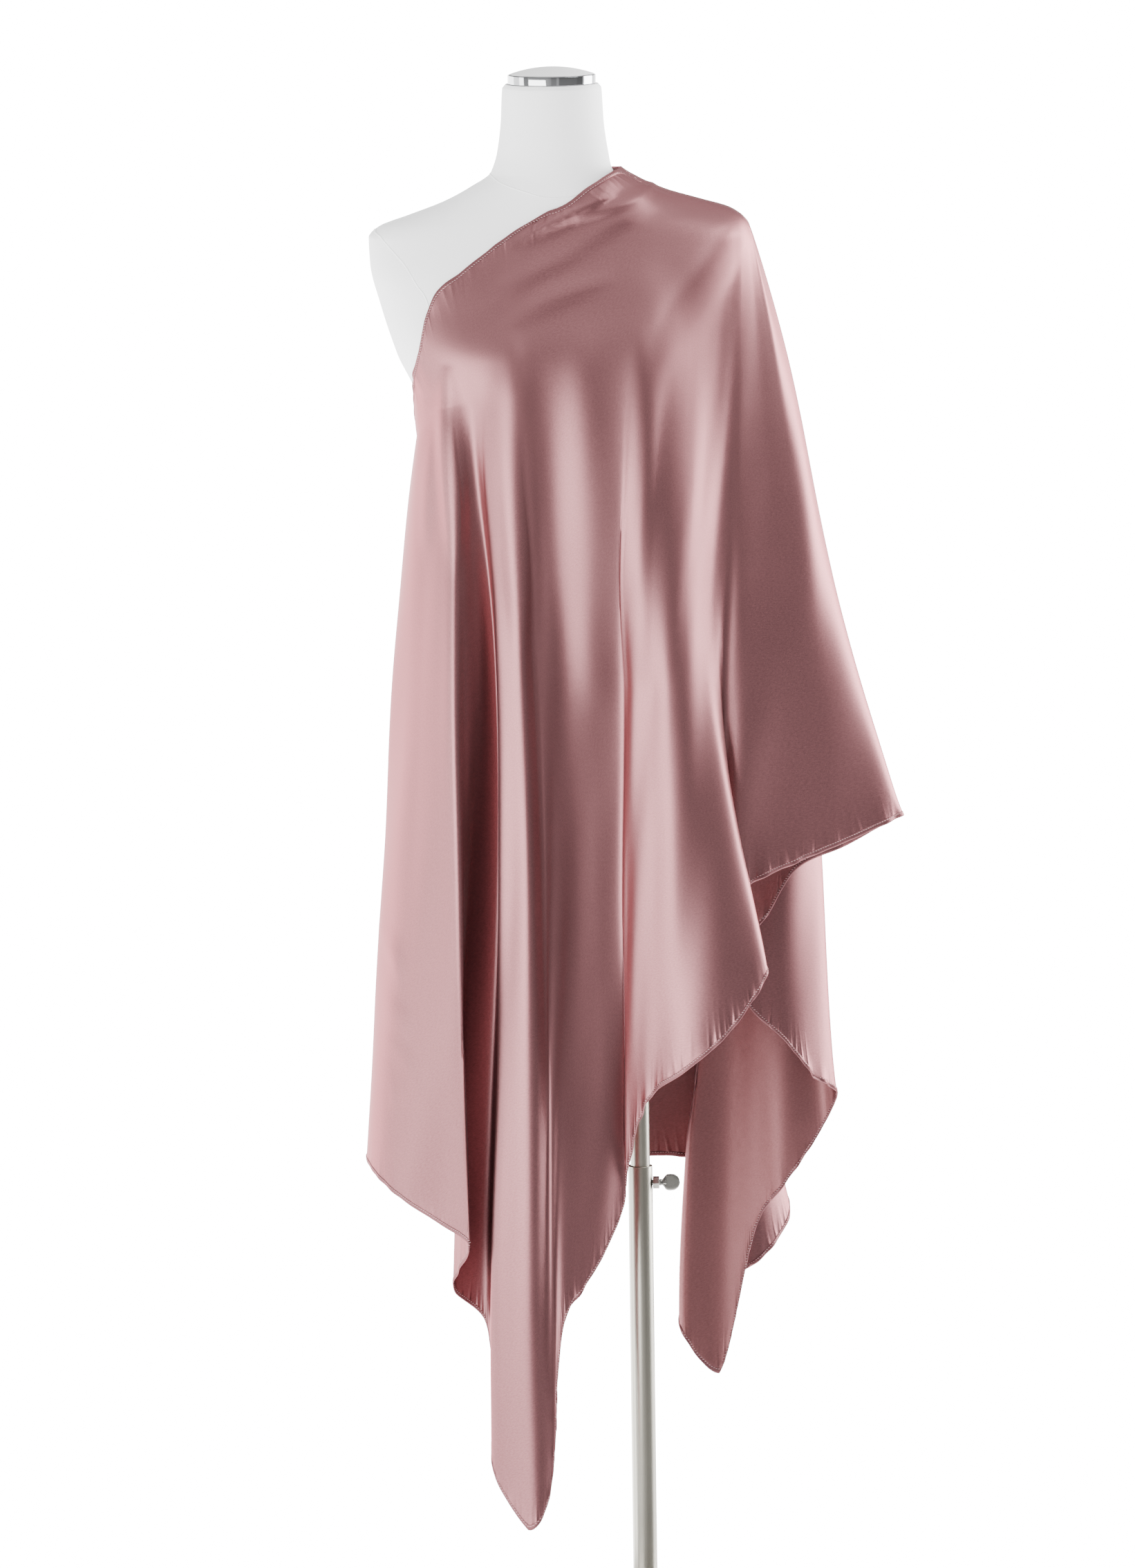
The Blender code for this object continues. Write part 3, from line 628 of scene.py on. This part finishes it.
def pucker(fold, fall):
    """Small waves along both hems, which die away from the edge: three uneven waves, added."""
    lift = np.zeros(np.broadcast(fold, fall).shape)
    for edge, (fine, run) in ((1.0, LOWER_RUN), (-1.0, UPPER_RUN)):
        along = np.interp(np.mod(fold, FOLD_COUNT), fine, run)
        coarse = fine[:: FINE_STEPS // 2]
        length = np.interp(np.mod(fold, FOLD_COUNT), coarse, fall_length(coarse, edge))
        inset = np.maximum(edge * (edge - fall), 0) * length
        waves = sum(height * np.sin(2 * np.pi * along / size + shift) for size, height, shift in PUCKERS)
        calm = PUCKER_STEADY + (1 - PUCKER_STEADY) * np.sin(2 * np.pi * along / PUCKER_CALM)
        lower = np.interp(np.mod(fold, FOLD_COUNT), *columns_of(PUCKER_FOLDS))
        strong = lower if edge > 0 else PUCKER_UPPER
        lift += waves * calm * strong * np.exp(-inset / PUCKER_REACH)
    return lift


def ripple(fold, fall):
    """Soft unevenness of the free cloth: a few long waves, which start where it leaves the form."""
    round_it = 2 * np.pi * fold / FOLD_COUNT
    free = np.clip(fall, 0, 1) ** 0.7
    waves = sum(height * np.sin(count * round_it + 2 * np.pi * down * fall + shift)
                for count, down, shift, height in RIPPLES)
    return waves * free


def cloth_point(fold, fall):
    """Point of the finished cloth: the drape, moved along its normal by ripples, creases and puckers.

    At the square's corners the hem is also drawn down to a point, by a drop that falls off as an
    exponential curve to both sides.
    """
    base = drape_point(fold, fall)
    lift = ripple(fold, fall) + crease_lift(base, fold) + pucker(fold, fall)
    made = base + lift[..., None] * normal_of(drape_point, fold, fall)
    for corner, drop, reach in CORNERS:
        near = np.exp(-folds_between(fold, corner) / reach)
        made[..., 2] -= drop * near * np.clip(fall, 0, 1) ** CORNER_FALL
    return made


def grid_mesh(name, points, closed_columns=False, closed_rows=False, uv=None, hem_uv=None):
    """A mesh of quads on a grid of points, joined round where it is closed, with its UV in metres."""
    wide, tall = points.shape[:2]
    columns = wide if closed_columns else wide - 1
    rows = tall if closed_rows else tall - 1
    i, j = np.meshgrid(np.arange(columns), np.arange(rows), indexing="ij")
    corners = ((i, j), (i + 1, j), (i + 1, j + 1), (i, j + 1))
    faces = np.stack([(a % wide) * tall + b % tall for a, b in corners], axis=-1).reshape(-1, 4)
    mesh = bpy.data.meshes.new(name)
    mesh.from_pydata(points.reshape(-1, 3).tolist(), [], faces.tolist())
    for layer_name, places in (("metres", uv), ("hem", hem_uv)):
        if places is not None:
            layer = mesh.uv_layers.new(name=layer_name)
            spread = np.stack([places[a, b] for a, b in corners], axis=-2).reshape(-1, 2)
            layer.data.foreach_set("uv", spread.astype(np.float32).ravel())
    mesh.shade_smooth()
    return mesh


def linked(name, data):
    """A new object of the scene."""
    obj = bpy.data.objects.new(name, data)
    bpy.context.scene.collection.objects.link(obj)
    return obj


def add_piece(name, mesh, body, finishes):
    """A shown piece that rides on a body and its finishes."""
    obj = linked(name, mesh)
    for finish in finishes:
        mesh.materials.append(finish)
    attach(obj, body)
    return obj


def facing_out(mesh):
    """Merges doubled points and turns all faces of a closed mesh outward."""
    bm = bmesh.new()
    bm.from_mesh(mesh)
    bmesh.ops.remove_doubles(bm, verts=bm.verts, dist=1e-7)
    bmesh.ops.recalc_face_normals(bm, faces=bm.faces)
    bm.to_mesh(mesh)
    bm.free()
    mesh.shade_smooth()
    return mesh


def turned(name, profile, sides=TUBE_SIDES, centre=(0, 0), sharp_degrees=40):
    """A closed body of revolution about a line along Z: the profile of (radius, z) carried round it."""
    turn = np.radians(np.arange(sides) * 360 / sides)[:, None]
    radius, z = columns_of(profile)
    points = np.stack([
        centre[0] + radius * np.cos(turn),
        centre[1] + radius * np.sin(turn),
        z + 0 * turn,
    ], axis=-1)
    mesh = facing_out(grid_mesh(name, points, closed_columns=True, closed_rows=profile[0][0] > 0))
    mesh.set_sharp_from_angle(angle=math.radians(sharp_degrees))
    return mesh


def rounded(corners, radius):
    """A closed profile, with each corner replaced by a short arc between two points cut beside it."""
    corners = np.array(corners, float)
    made = []
    for before, corner, after in zip(np.roll(corners, 1, 0), corners, np.roll(corners, -1, 0)):
        start = corner + unit(before - corner) * radius
        end = corner + unit(after - corner) * radius
        s = np.linspace(0, 1, EDGE_STEPS + 1)[:, None]
        made.append((1 - s) ** 2 * start + 2 * s * (1 - s) * corner + s**2 * end)
    return [tuple(point) for point in np.concatenate(made)]


def ring_profile(inner, outer, low, high, radius):
    """Profile of a ring from its bore to its outside and from low to high, with rounded edges."""
    return rounded([(inner, low), (outer, low), (outer, high), (inner, high)], radius)


class Wire:
    """An output of a shader graph. Arithmetic on it adds Math nodes."""

    def __init__(self, graph, socket):
        self.graph = graph
        self.socket = socket

    def maths(self, operation, first, second):
        return self.graph.add("Math", {"operation": operation}, {0: first, 1: second})

    def __add__(self, other):
        return self.maths("ADD", self, other)

    def __radd__(self, other):
        return self.maths("ADD", other, self)

    def __sub__(self, other):
        return self.maths("SUBTRACT", self, other)

    def __rsub__(self, other):
        return self.maths("SUBTRACT", other, self)

    def __mul__(self, other):
        return self.maths("MULTIPLY", self, other)


class Graph:
    """The shader nodes of one material or world."""

    def __init__(self, owner):
        self.owner = owner
        owner.use_nodes = True
        self.tree = owner.node_tree
        self.tree.nodes.clear()

    def add(self, kind, settings=None, sockets=None, out=0):
        """A node of this type: its settings first, then the values or links of its sockets."""
        node = self.tree.nodes.new("ShaderNode" + kind)
        for key, value in (settings or {}).items():
            if key == "stops":
                elements = node.color_ramp.elements
                while len(elements) < len(value):
                    elements.new(1.0)
                for element, (place, colour) in zip(elements, value):
                    element.position = place
                    element.color = colour
            else:
                setattr(node, key, value)
        for key, value in (sockets or {}).items():
            if isinstance(value, Wire):
                self.tree.links.new(value.socket, node.inputs[key])
            else:
                node.inputs[key].default_value = value
        return Wire(self, node.outputs[out]) if node.outputs else node

    def ramp(self, factor, stops, interpolation="LINEAR"):
        """A colour ramp, whose stops are (place, grey or colour)."""
        full = [(place, (c, c, c, 1) if isinstance(c, (int, float)) else (*c, 1)) for place, c in stops]
        ramp = self.add("ValToRGB", {"stops": full}, {"Fac": factor})
        ramp.socket.node.color_ramp.interpolation = interpolation
        return ramp

    def mix(self, factor, first, second):
        """Two colours mixed by a factor."""
        return self.add("Mix", {"data_type": "RGBA"}, {0: factor, 6: (*first, 1), 7: (*second, 1)}, out=2)

    def place(self):
        """The place on the object, in metres."""
        return self.add("TexCoord", {}, {}, out=3)

    def noise(self, where, scale, detail=2.0, roughness=0.5):
        sockets = {"Vector": where, "Scale": scale, "Detail": detail, "Roughness": roughness}
        return self.add("TexNoise", {}, sockets)

    def stretched(self, where, scale, turn=0.0):
        """Places scaled along each axis, and turned about Z by this many degrees."""
        sockets = {"Vector": where, "Scale": scale, "Rotation": (0, 0, math.radians(turn))}
        return self.add("Mapping", {}, sockets)

    def finish(self, sockets):
        """The material, with a Principled surface of these sockets."""
        self.add("OutputMaterial", {}, {"Surface": self.add("BsdfPrincipled", {}, sockets)})
        return self.owner


def new_finish(name):
    return Graph(bpy.data.materials.new(name))


def satin_finish(name, pale, deep, roughness, speckle, metal):
    """Woven satin: fine twill grain across the cloth, uneven speckle of the yarn, and soft shine.

    Along the hem the cloth is gathered into small tucks, which come and go and die away inward.
    """
    g = new_finish(name)
    metres = g.add("UVMap", {"uv_map": "metres"})
    grain = g.noise(g.stretched(metres, (2200, 800, 1), 35), 1.0, 2.0, 0.6)
    yarn = g.noise(g.stretched(metres, (430, 760, 1), -8), 1.0, 4.0, 0.7)
    cloud = g.noise(metres, 9.0, 3.0, 0.55)
    tone = yarn * speckle + grain * (speckle * 0.6) + cloud * 0.15 + (0.425 - speckle * 0.8)
    colour = g.mix(tone, deep, pale)
    shine = roughness + (grain - 0.5) * 0.16 + (cloud - 0.5) * 0.06
    twill = g.add(
        "TexWave",
        {"wave_type": "BANDS", "bands_direction": "DIAGONAL"},
        {"Vector": metres, "Scale": 420.0, "Distortion": 1.5, "Detail": 1.0, "Detail Scale": 2.0},
        out=1,
    )
    height = grain * 0.6 + yarn * 0.5 + twill * 0.3
    weave = g.add("Bump", {}, {"Strength": 0.25, "Distance": 0.0002, "Height": height})
    hem_place = g.add("UVMap", {"uv_map": "hem"})
    inset = g.add("SeparateXYZ", {}, {0: hem_place}, out=1)
    waves = g.noise(g.stretched(hem_place, (74, 9, 1)), 1.0, 0.0)
    tucks = g.ramp(waves, ((0.36, 0.0), (0.50, 1.0), (0.64, 0.0)), "EASE")
    come_and_go = g.noise(g.stretched(hem_place, (5, 1, 1)), 1.0, 1.0)
    patches = g.ramp(come_and_go, ((0.35, 0.15), (0.62, 1.0)))
    near_hem = g.add("Math", {"operation": "EXPONENT"}, {0: inset * (-1 / GATHER_REACH)})
    gather = tucks * patches * near_hem
    sockets = {"Strength": 1.0, "Distance": GATHER_RISE, "Height": gather, "Normal": weave}
    bump = g.add("Bump", {}, sockets)
    return g.finish({
        "Base Color": colour,
        "Roughness": shine,
        "Normal": bump,
        "Metallic": metal,
        "Coat Weight": 0.18,
        "Coat Roughness": 0.45,
        "Sheen Weight": 0.05,
        "Sheen Roughness": 0.4,
        "Sheen Tint": (1.0, 0.80, 0.80, 1),
        "Specular Tint": (0.80, 0.42, 0.44, 1),
    })


def thread_finish():
    """Polyester sewing thread, with the twist of its plies."""
    g = new_finish("hem_thread")
    twist = g.noise(g.place(), 3000.0, 1.0)
    colour = g.mix(twist, (0.46, 0.25, 0.255), (0.62, 0.40, 0.40))
    bump = g.add("Bump", {}, {"Strength": 0.3, "Distance": 0.0001, "Height": twist})
    return g.finish({"Base Color": colour, "Roughness": 0.45, "Normal": bump, "Sheen Weight": 0.2})


def cover_finish():
    """White knit cover of the form: fine stitches, a faint mottle, and soft sheen."""
    g = new_finish("form_knit")
    place = g.place()
    loops = g.noise(g.stretched(place, (1500, 1500, 900)), 1.0, 2.0, 0.65)
    mottle = g.noise(place, 22.0, 3.0)
    colour = g.mix(loops * 0.5 + mottle * 0.5, (0.955, 0.955, 0.96), (0.995, 0.995, 0.997))
    bump = g.add("Bump", {}, {"Strength": 0.35, "Distance": 0.0003, "Height": loops})
    return g.finish({
        "Base Color": colour,
        "Roughness": 0.82 + (loops - 0.5) * 0.15,
        "Normal": bump,
        "Sheen Weight": 0.25,
        "Sheen Roughness": 0.5,
    })


def steel_finish(name, tint, grain, roughness):
    """Brushed steel: long fine scratches in the brushing direction, and faint smudges."""
    g = new_finish(name)
    place = g.place()
    scratch = g.noise(g.stretched(place, grain), 1.0, 3.0, 0.7)
    smudge = g.noise(place, 34.0, 2.0)
    dark = tuple(c * 0.90 for c in tint)
    colour = g.mix(scratch * 0.85 + smudge * 0.15, dark, tint)
    bump = g.add("Bump", {}, {"Strength": 0.12, "Distance": 0.0001, "Height": scratch})
    return g.finish({
        "Base Color": colour,
        "Metallic": 1.0,
        "Roughness": roughness + (scratch - 0.5) * 0.14 + (smudge - 0.5) * 0.02,
        "Normal": bump,
    })


def chrome_finish():
    """Polished chrome plate, with the faintest haze of handling."""
    g = new_finish("cap_chrome")
    haze = g.noise(g.place(), 60.0, 3.0)
    colour = g.mix(haze, (0.36, 0.365, 0.375), (0.42, 0.425, 0.435))
    return g.finish({"Base Color": colour, "Metallic": 1.0, "Roughness": 0.035 + haze * 0.03})


def lacquer_finish():
    """White lacquer of the cap's dome."""
    g = new_finish("cap_lacquer")
    haze = g.noise(g.place(), 40.0, 2.0)
    colour = g.mix(haze, (0.93, 0.93, 0.93), (0.98, 0.98, 0.98))
    return g.finish({"Base Color": colour, "Roughness": 0.55 + haze * 0.1})


def aimed(obj, place, aim, roll=0.0):
    """Sets the object down at the place, with its own -Z to the aim, rolled about that line."""
    facing = (Vector(aim) - Vector(place)).to_track_quat("-Z", "Y").to_matrix().to_4x4()
    obj.matrix_world = Matrix.Translation(place) @ facing @ Matrix.Rotation(roll, 4, "Z")


def camera():
    """The camera, aimed at the cloth and rolled a little about its line of sight."""
    data = bpy.data.cameras.new("camera")
    data.lens = CAMERA_LENS
    data.sensor_width = 36
    data.clip_end = 200
    obj = linked("camera", data)
    aimed(obj, CAMERA_EYE, CAMERA_AIM, CAMERA_ROLL)
    bpy.context.scene.camera = obj


def softbox(name, turn, distance, height, size, radiance):
    """A soft area light that faces the form, at this turn in degrees from the front towards +X."""
    data = bpy.data.lights.new(name, "AREA")
    data.shape = "RECTANGLE"
    data.size, data.size_y = size
    data.energy = radiance * math.pi * size[0] * size[1]
    across = math.radians(turn)
    place = (math.sin(across) * distance, -math.cos(across) * distance, height)
    aimed(linked(name, data), place, SOFTBOX_AIM)


def studio():
    """A white floor, a room with bright and dark panels round the form, and three large soft lights."""
    mesh = bpy.data.meshes.new("studio_floor")
    corners = [(x * FLOOR_REACH, y * FLOOR_REACH, 0) for x, y in ((-1, -1), (1, -1), (1, 1), (-1, 1))]
    mesh.from_pydata(corners, [], [(0, 1, 2, 3)])
    floor = linked("studio_floor", mesh)
    paint = new_finish("floor_paint").finish({
        "Base Color": (0.9, 0.9, 0.9, 1),
        "Roughness": 0.9,
        "Emission Color": (1, 1, 1, 1),
        "Emission Strength": FLOOR_GLOW,
    })
    mesh.materials.append(paint)
    floor.visible_diffuse = False
    floor.visible_glossy = False

    world = bpy.data.worlds.new("studio_room")
    bpy.context.scene.world = world
    g = Graph(world)
    axes = g.add("SeparateXYZ", {}, {0: g.add("TexCoord", {}, {}, out=0)}).socket.node.outputs
    x, y, z = (Wire(g, socket) for socket in axes)
    turn = g.add("Math", {"operation": "ARCTAN2"}, {0: x, 1: 0 - y}) * (0.5 / math.pi) + 0.5
    height = z * 0.5 + 0.5
    panels = g.ramp(turn, [(0.5 + degrees / 360, light / ROOM_LIGHT) for degrees, light in ROOM_PANELS])
    window = g.ramp(height, [(0.5 + sight / 2, share) for sight, share in ROOM_WINDOW])
    cover = g.ramp(height, [(0.5 + sight / 2, light / ROOM_LIGHT) for sight, light in ROOM_COVER])
    shade = g.add("Background", {}, {"Color": panels * window + cover, "Strength": ROOM_LIGHT})
    g.add("OutputWorld", {}, {"Surface": shade})
    for settings in SOFTBOXES:
        softbox(*settings)


def cloth_columns():
    """Folds at which the cloth's columns lie: even along the cloth, but closer on the folds that show."""
    fine = np.linspace(0, FOLD_COUNT, FOLD_COUNT * FINE_STEPS + 1)
    length = 0
    for fall in (0.2, 0.6, 1.0):
        line = drape_point(fine, fall + 0 * fine)
        length = length + np.linalg.norm(np.diff(line, axis=0), axis=-1)
    length = length * np.where(fine[:-1] < VISIBLE_FOLDS, 1.0, BACK_SPACING)
    run = runs_of(length)
    return np.interp(np.linspace(0, run[-1], CLOTH_COLUMNS + 1), run, fine)[:-1]


def cloth_falls():
    """Falls at which its rows lie: even on the form, even below it, and close together at the hem."""
    on_form = np.linspace(-1, 0, ROWS_ON_FORM + 1)
    free = np.linspace(0, HEM_ZONE, ROWS_FREE + 1)[1:]
    hem = np.linspace(HEM_ZONE, 1, ROWS_HEM + 1)[1:]
    return np.concatenate([on_form, free, hem])


def eased(points, fold):
    """The cloth's grid with the bend where it leaves the form eased into a curve.

    Each pass moves a point towards the middle of its neighbours up and down the cloth. Rows near the
    leaving line and columns near EASE_FOLD move most.
    """
    row = np.arange(points.shape[1])
    near_row = np.exp(-(((row - ROWS_ON_FORM) / EASE_ROWS) ** 2))
    near_fold = np.exp(-((folds_between(fold, EASE_FOLD) / EASE_FOLDS) ** 2))
    weight = (near_fold[:, None] * near_row)[:, 1:-1, None] * 0.5
    made = points.copy()
    for _ in range(EASE_PASSES):
        middle = (made[:, :-2] + made[:, 2:]) / 2
        made[:, 1:-1] += weight * (middle - made[:, 1:-1])
    return made


def cloth(satin, wrong_side):
    """The cloth itself: one sheet round the form, given its thickness, with its wrong side inside."""
    falls = cloth_falls()
    fold, fall = np.meshgrid(cloth_columns(), falls, indexing="ij")
    points = eased(cloth_point(fold, fall), fold[:, 0])
    ring = np.concatenate([points, points[:1]])
    across = np.linalg.norm(np.diff(ring, axis=0), axis=-1)
    down = np.linalg.norm(np.diff(ring, axis=1), axis=-1)
    u = runs_of(across.mean(1))[:, None] + np.zeros(len(falls))
    v = np.concatenate([np.zeros((len(ring), 1)), np.cumsum(down, axis=1)], axis=1)
    inset = np.where(falls > 0, v[:, -1:] - v, v)
    along = np.where(falls > 0, runs_of(across[:, -1])[:, None], runs_of(across[:, 0])[:, None])
    places = {"uv": np.stack([u, v], axis=-1), "hem_uv": np.stack([along, inset], axis=-1)}
    mesh = grid_mesh("hijab_cloth", points, closed_columns=True, **places)
    mesh.flip_normals()
    obj = add_piece("hijab_cloth", mesh, "form", (satin, wrong_side))
    wall = obj.modifiers.new("thickness", "SOLIDIFY")
    wall.thickness = CLOTH_THICK
    wall.offset = 0
    wall.use_rim = True
    wall.material_offset = 1
    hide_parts("drape_front", "drape_side", "drape_tail", "drape_back")
    return obj


def edge_frame(fold, edge):
    """Places along the cloth's upper or lower edge, and the directions out of the cloth there."""
    at = edge + 0 * fold
    inside = edge * (1 - 0.004) + 0 * fold
    place = cloth_point(fold, at)
    out = unit(place - cloth_point(fold, inside))
    normal = normal_of(cloth_point, fold, at)
    return place, out, normal


def spaced_folds(edge, step):
    """Folds at even steps along the cloth's upper or lower edge."""
    fine, run = LOWER_RUN if edge > 0 else UPPER_RUN
    count = int(run[-1] / step)
    return np.interp(np.arange(count) * run[-1] / count, run, fine)


def hem(edge):
    """Mesh of one edge's turned hem: its flat section carried along the edge, on the cloth's form."""
    fold = spaced_folds(edge, HEM_STEP)
    place, out, normal = edge_frame(fold, edge)
    length = fall_length(fold, edge)
    rings = []
    for inset, rise in HEM_SECTION:
        inside = edge * (1 - max(inset, 0) / length)
        on_cloth = cloth_point(fold, inside) if inset > 0 else place
        rings.append(on_cloth + out * max(-inset, 0) + normal * rise)
    points = np.stack(rings, axis=1)
    run = np.linalg.norm(np.diff(np.concatenate([place, place[:1]]), axis=0), axis=-1)
    u = runs_of(run)[:, None] + np.zeros(len(HEM_SECTION) + 1)
    v = np.arange(len(HEM_SECTION) + 1) * 0.001 + np.zeros((len(fold) + 1, 1))
    return grid_mesh("hem", points, closed_columns=True, closed_rows=True, uv=np.stack([u, v], axis=-1))


def joined(name, meshes):
    """One mesh of several."""
    bm = bmesh.new()
    for mesh in meshes:
        bm.from_mesh(mesh)
    made = bpy.data.meshes.new(name)
    bm.to_mesh(made)
    bm.free()
    for mesh in meshes:
        bpy.data.meshes.remove(mesh)
    made.shade_smooth()
    return made


def stitches(edge):
    """Mesh of the hem's stitches: a small grain of thread for each, on both faces of the hem."""
    fold = spaced_folds(edge, STITCH_PITCH)
    place, out, normal = edge_frame(fold, edge)
    inside = edge * (1 - STITCH_INSET / fall_length(fold, edge))
    middle = cloth_point(fold, inside)
    along = unit(np.cross(normal, out))
    share_along, share_round = columns_of(STITCH_SECTIONS)
    ends = share_along * STITCH_LENGTH
    girth = share_round[:, None] * STITCH_RADIUS
    turn = np.radians(np.arange(STITCH_SIDES) * 360 / STITCH_SIDES)
    verts = []
    for side in (1, -1):
        centre = middle + side * STITCH_RISE * normal
        ring = (
            centre[:, None, None]
            + along[:, None, None] * ends[:, None, None]
            + (girth * np.cos(turn))[None, ..., None] * out[:, None, None]
            + (girth * np.sin(turn))[None, ..., None] * normal[:, None, None]
        )
        verts.append(ring.reshape(-1, 3))
    grid = np.arange(len(ends) * STITCH_SIDES).reshape(-1, STITCH_SIDES)
    ahead = np.roll(grid, -1, 1)
    one = np.stack([grid[:-1], ahead[:-1], ahead[1:], grid[1:]], axis=-1).reshape(-1, 4)
    starts = np.arange(2 * len(fold))[:, None, None] * grid.size
    mesh = bpy.data.meshes.new("stitches")
    mesh.from_pydata(np.concatenate(verts).tolist(), [], (one + starts).reshape(-1, 4).tolist())
    return facing_out(mesh)


def form_cover(knit):
    """The form's cover: a fine surface on the form's levels, closed by its flat bottom and its rim."""
    levels = in_metres(FORM_LEVELS, -1)[0]
    z = np.union1d(np.linspace(levels[0], levels[-1], FORM_ROWS), levels)
    turn = np.arange(FORM_COLUMNS) * 360 / FORM_COLUMNS
    rings = form_point(turn[:, None] + 0 * z, z + 0 * turn[:, None])
    axis = np.stack([form_level(z)[0], 0 * z, z], axis=-1) + np.zeros((FORM_COLUMNS, 1, 1))
    points = np.concatenate([axis[:, :1], rings, axis[:, -1:]], axis=1)
    mesh = facing_out(grid_mesh("form_cover", points, closed_columns=True))
    mesh.set_sharp_from_angle(angle=math.radians(50))
    obj = add_piece("form_cover", mesh, "form", (knit,))
    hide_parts("form_torso")


def form_seams(knit):
    """Raised seam lines of the cover: a low oval ridge along each line on the form."""
    made = []
    for line in FORM_SEAMS:
        line = np.array(line, float)
        knots = np.arange(len(line))
        fine = np.linspace(0, len(line) - 1, (len(line) - 1) * SEAM_STEPS + 1)
        turn, z = through(knots, line, fine, rounded_slopes).T
        place = form_point(turn, z)
        normal = form_normal(turn, z)
        along = unit(np.gradient(place, axis=0))
        across = unit(np.cross(normal, along))
        around = np.radians(np.arange(SEAM_SIDES) * 360 / SEAM_SIDES)
        taper = np.clip(np.minimum(np.arange(len(fine)), np.arange(len(fine))[::-1]) / 2, 0, 1)
        side = np.cos(around) * SEAM_HALF_WIDTH * taper[:, None]
        up = np.sin(around) * SEAM_RISE * taper[:, None]
        points = place[:, None] + side[..., None] * across[:, None] + up[..., None] * normal[:, None]
        made.append(grid_mesh("seam", points, closed_rows=True))
    mesh = facing_out(joined("form_seams", made))
    add_piece("form_seams", mesh, "form", (knit,))


def cap(chrome, lacquer):
    """Chrome band and white dome on the neck."""
    low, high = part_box("neck_cap")
    centre = ((low.x + high.x) / 2, (low.y + high.y) / 2)
    radius = (high.x - low.x) / 2
    band_top = low.z + CAP_BAND_HEIGHT
    profile = ring_profile(CAP_HOLE, radius, low.z, band_top, CAP_BAND_ROUND)
    band = turned("neck_band", profile, CAP_SIDES, centre)
    obj = add_piece("neck_band", band, "form", (chrome,))
    rise = high.z - band_top
    dome_radius = (radius**2 + rise**2) / (2 * rise)
    tilt = np.linspace(0, math.asin((radius - CAP_LIP) / dome_radius), DOME_RINGS)
    profile = [(dome_radius * math.sin(t), high.z - dome_radius * (1 - math.cos(t))) for t in tilt]
    profile += [(0.0, profile[-1][1] - DOME_SINK)]
    dome = turned("neck_dome", profile, CAP_SIDES, centre, 60)
    add_piece("neck_dome", dome, "form", (lacquer,))
    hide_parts("neck_cap")


def stand(steels):
    """Tubes, hub and the flange under the form, each with slightly rounded ends, and the base plate."""
    for name, node, inner, steel, body in TUBES:
        low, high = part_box(node)
        wall = ring_profile(inner, (high.x - low.x) / 2, low.z, high.z, TUBE_ROUND)
        obj = add_piece(name, turned(name, wall), body, (steels[steel],))
        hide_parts(node)
    low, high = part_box("base_plate")
    radius = (high.x - low.x) / 2
    bend_x = radius - BASE_EDGE
    bend_z = high.z - BASE_EDGE
    bend = np.linspace(0.2, 1.57, 8)
    rim = [(bend_x + BASE_EDGE * math.cos(t), bend_z + BASE_EDGE * math.sin(t)) for t in bend]
    profile = [(0.0, 0.0), (radius, 0.0), (radius, bend_z), *rim, (0.0, high.z)]
    plate = turned("base_plate_steel", profile, BASE_SIDES)
    obj = add_piece("base_plate_steel", plate, "stand", (steels["plate_steel"],))
    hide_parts("base_plate")


def along_x(mesh, centre):
    """Lays a turned mesh on its side: its own +Z becomes +X, and its foot goes to the centre."""
    place = Matrix.Translation(centre) @ Matrix.Rotation(math.pi / 2, 4, "Y")
    mesh.transform(place)
    return mesh


def screw_grip():
    """The screw's flat round grip, fanned out from its neck.

    Each section is a ring across the screw at its x: an oval with its corners filled.
    """
    sections = np.array(GRIP_SECTIONS)
    fine = np.linspace(0, len(sections) - 1, GRIP_FINE)
    x, high, thick = through(np.arange(len(sections)), sections, fine).T
    turn = np.radians(np.arange(GRIP_FINE) * 360 / GRIP_FINE)[:, None]
    across = np.cos(turn)
    up = np.sin(turn)
    points = np.stack([
        x + 0 * turn,
        thick * np.sign(across) * np.abs(across) ** GRIP_POWER,
        CLAMP_HEIGHT + high * np.sign(up) * np.abs(up) ** GRIP_POWER,
    ], axis=-1)
    return facing_out(grid_mesh("screw_grip", points, closed_columns=True))


def clamp(turned_steel):
    """The six-sided clamp nut with its collar, and the thumb screw in it with its fanned grip."""
    low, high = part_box("clamp_nut")
    nut = ring_profile(NUT_HOLE, (high.z - low.z) / 2, 0.0, high.x - low.x, NUT_ROUND)
    body = turned("nut", nut, 6, sharp_degrees=25)
    body.transform(Matrix.Rotation(math.radians(30), 4, "Z"))
    mesh = along_x(body, (low.x, 0.0, CLAMP_HEIGHT))
    obj = add_piece("clamp_nut_steel", mesh, "stand", (turned_steel,))
    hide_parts("clamp_nut")
    low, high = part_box("thumb_screw")
    profile = ring_profile(0.0, SHANK_RADIUS, 0.0, SHANK_LENGTH, SHANK_ROUND)
    shank = turned("shank", profile, SHANK_SIDES)
    made = joined("thumb_screw_steel", [along_x(shank, (low.x, 0.0, CLAMP_HEIGHT)), screw_grip()])
    obj = add_piece("thumb_screw_steel", made, "screw", (turned_steel,))
    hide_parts("thumb_screw")


camera()
studio()
satin, wrong_side, hem_satin_painted_shade = (satin_finish(*row) for row in SATINS)
steels = {row[0]: steel_finish(*row) for row in STEELS}
knit = cover_finish()
sheet = cloth(satin, wrong_side)
hem_mesh = facing_out(joined("hijab_hem", [hem(1.0), hem(-1.0)]))
# the turned hem wears the darker copy of the satin, whose colours are painted shade on its rounded edge
hems = add_piece("hijab_hem", hem_mesh, "form", (hem_satin_painted_shade,))
thread = joined("hijab_stitches", [stitches(1.0), stitches(-1.0)])
sewing = add_piece("hijab_stitches", thread, "form", (thread_finish(),))
form_cover(knit)
form_seams(knit)
cap(chrome_finish(), lacquer_finish())
stand(steels)
clamp(steels["turned_steel"])
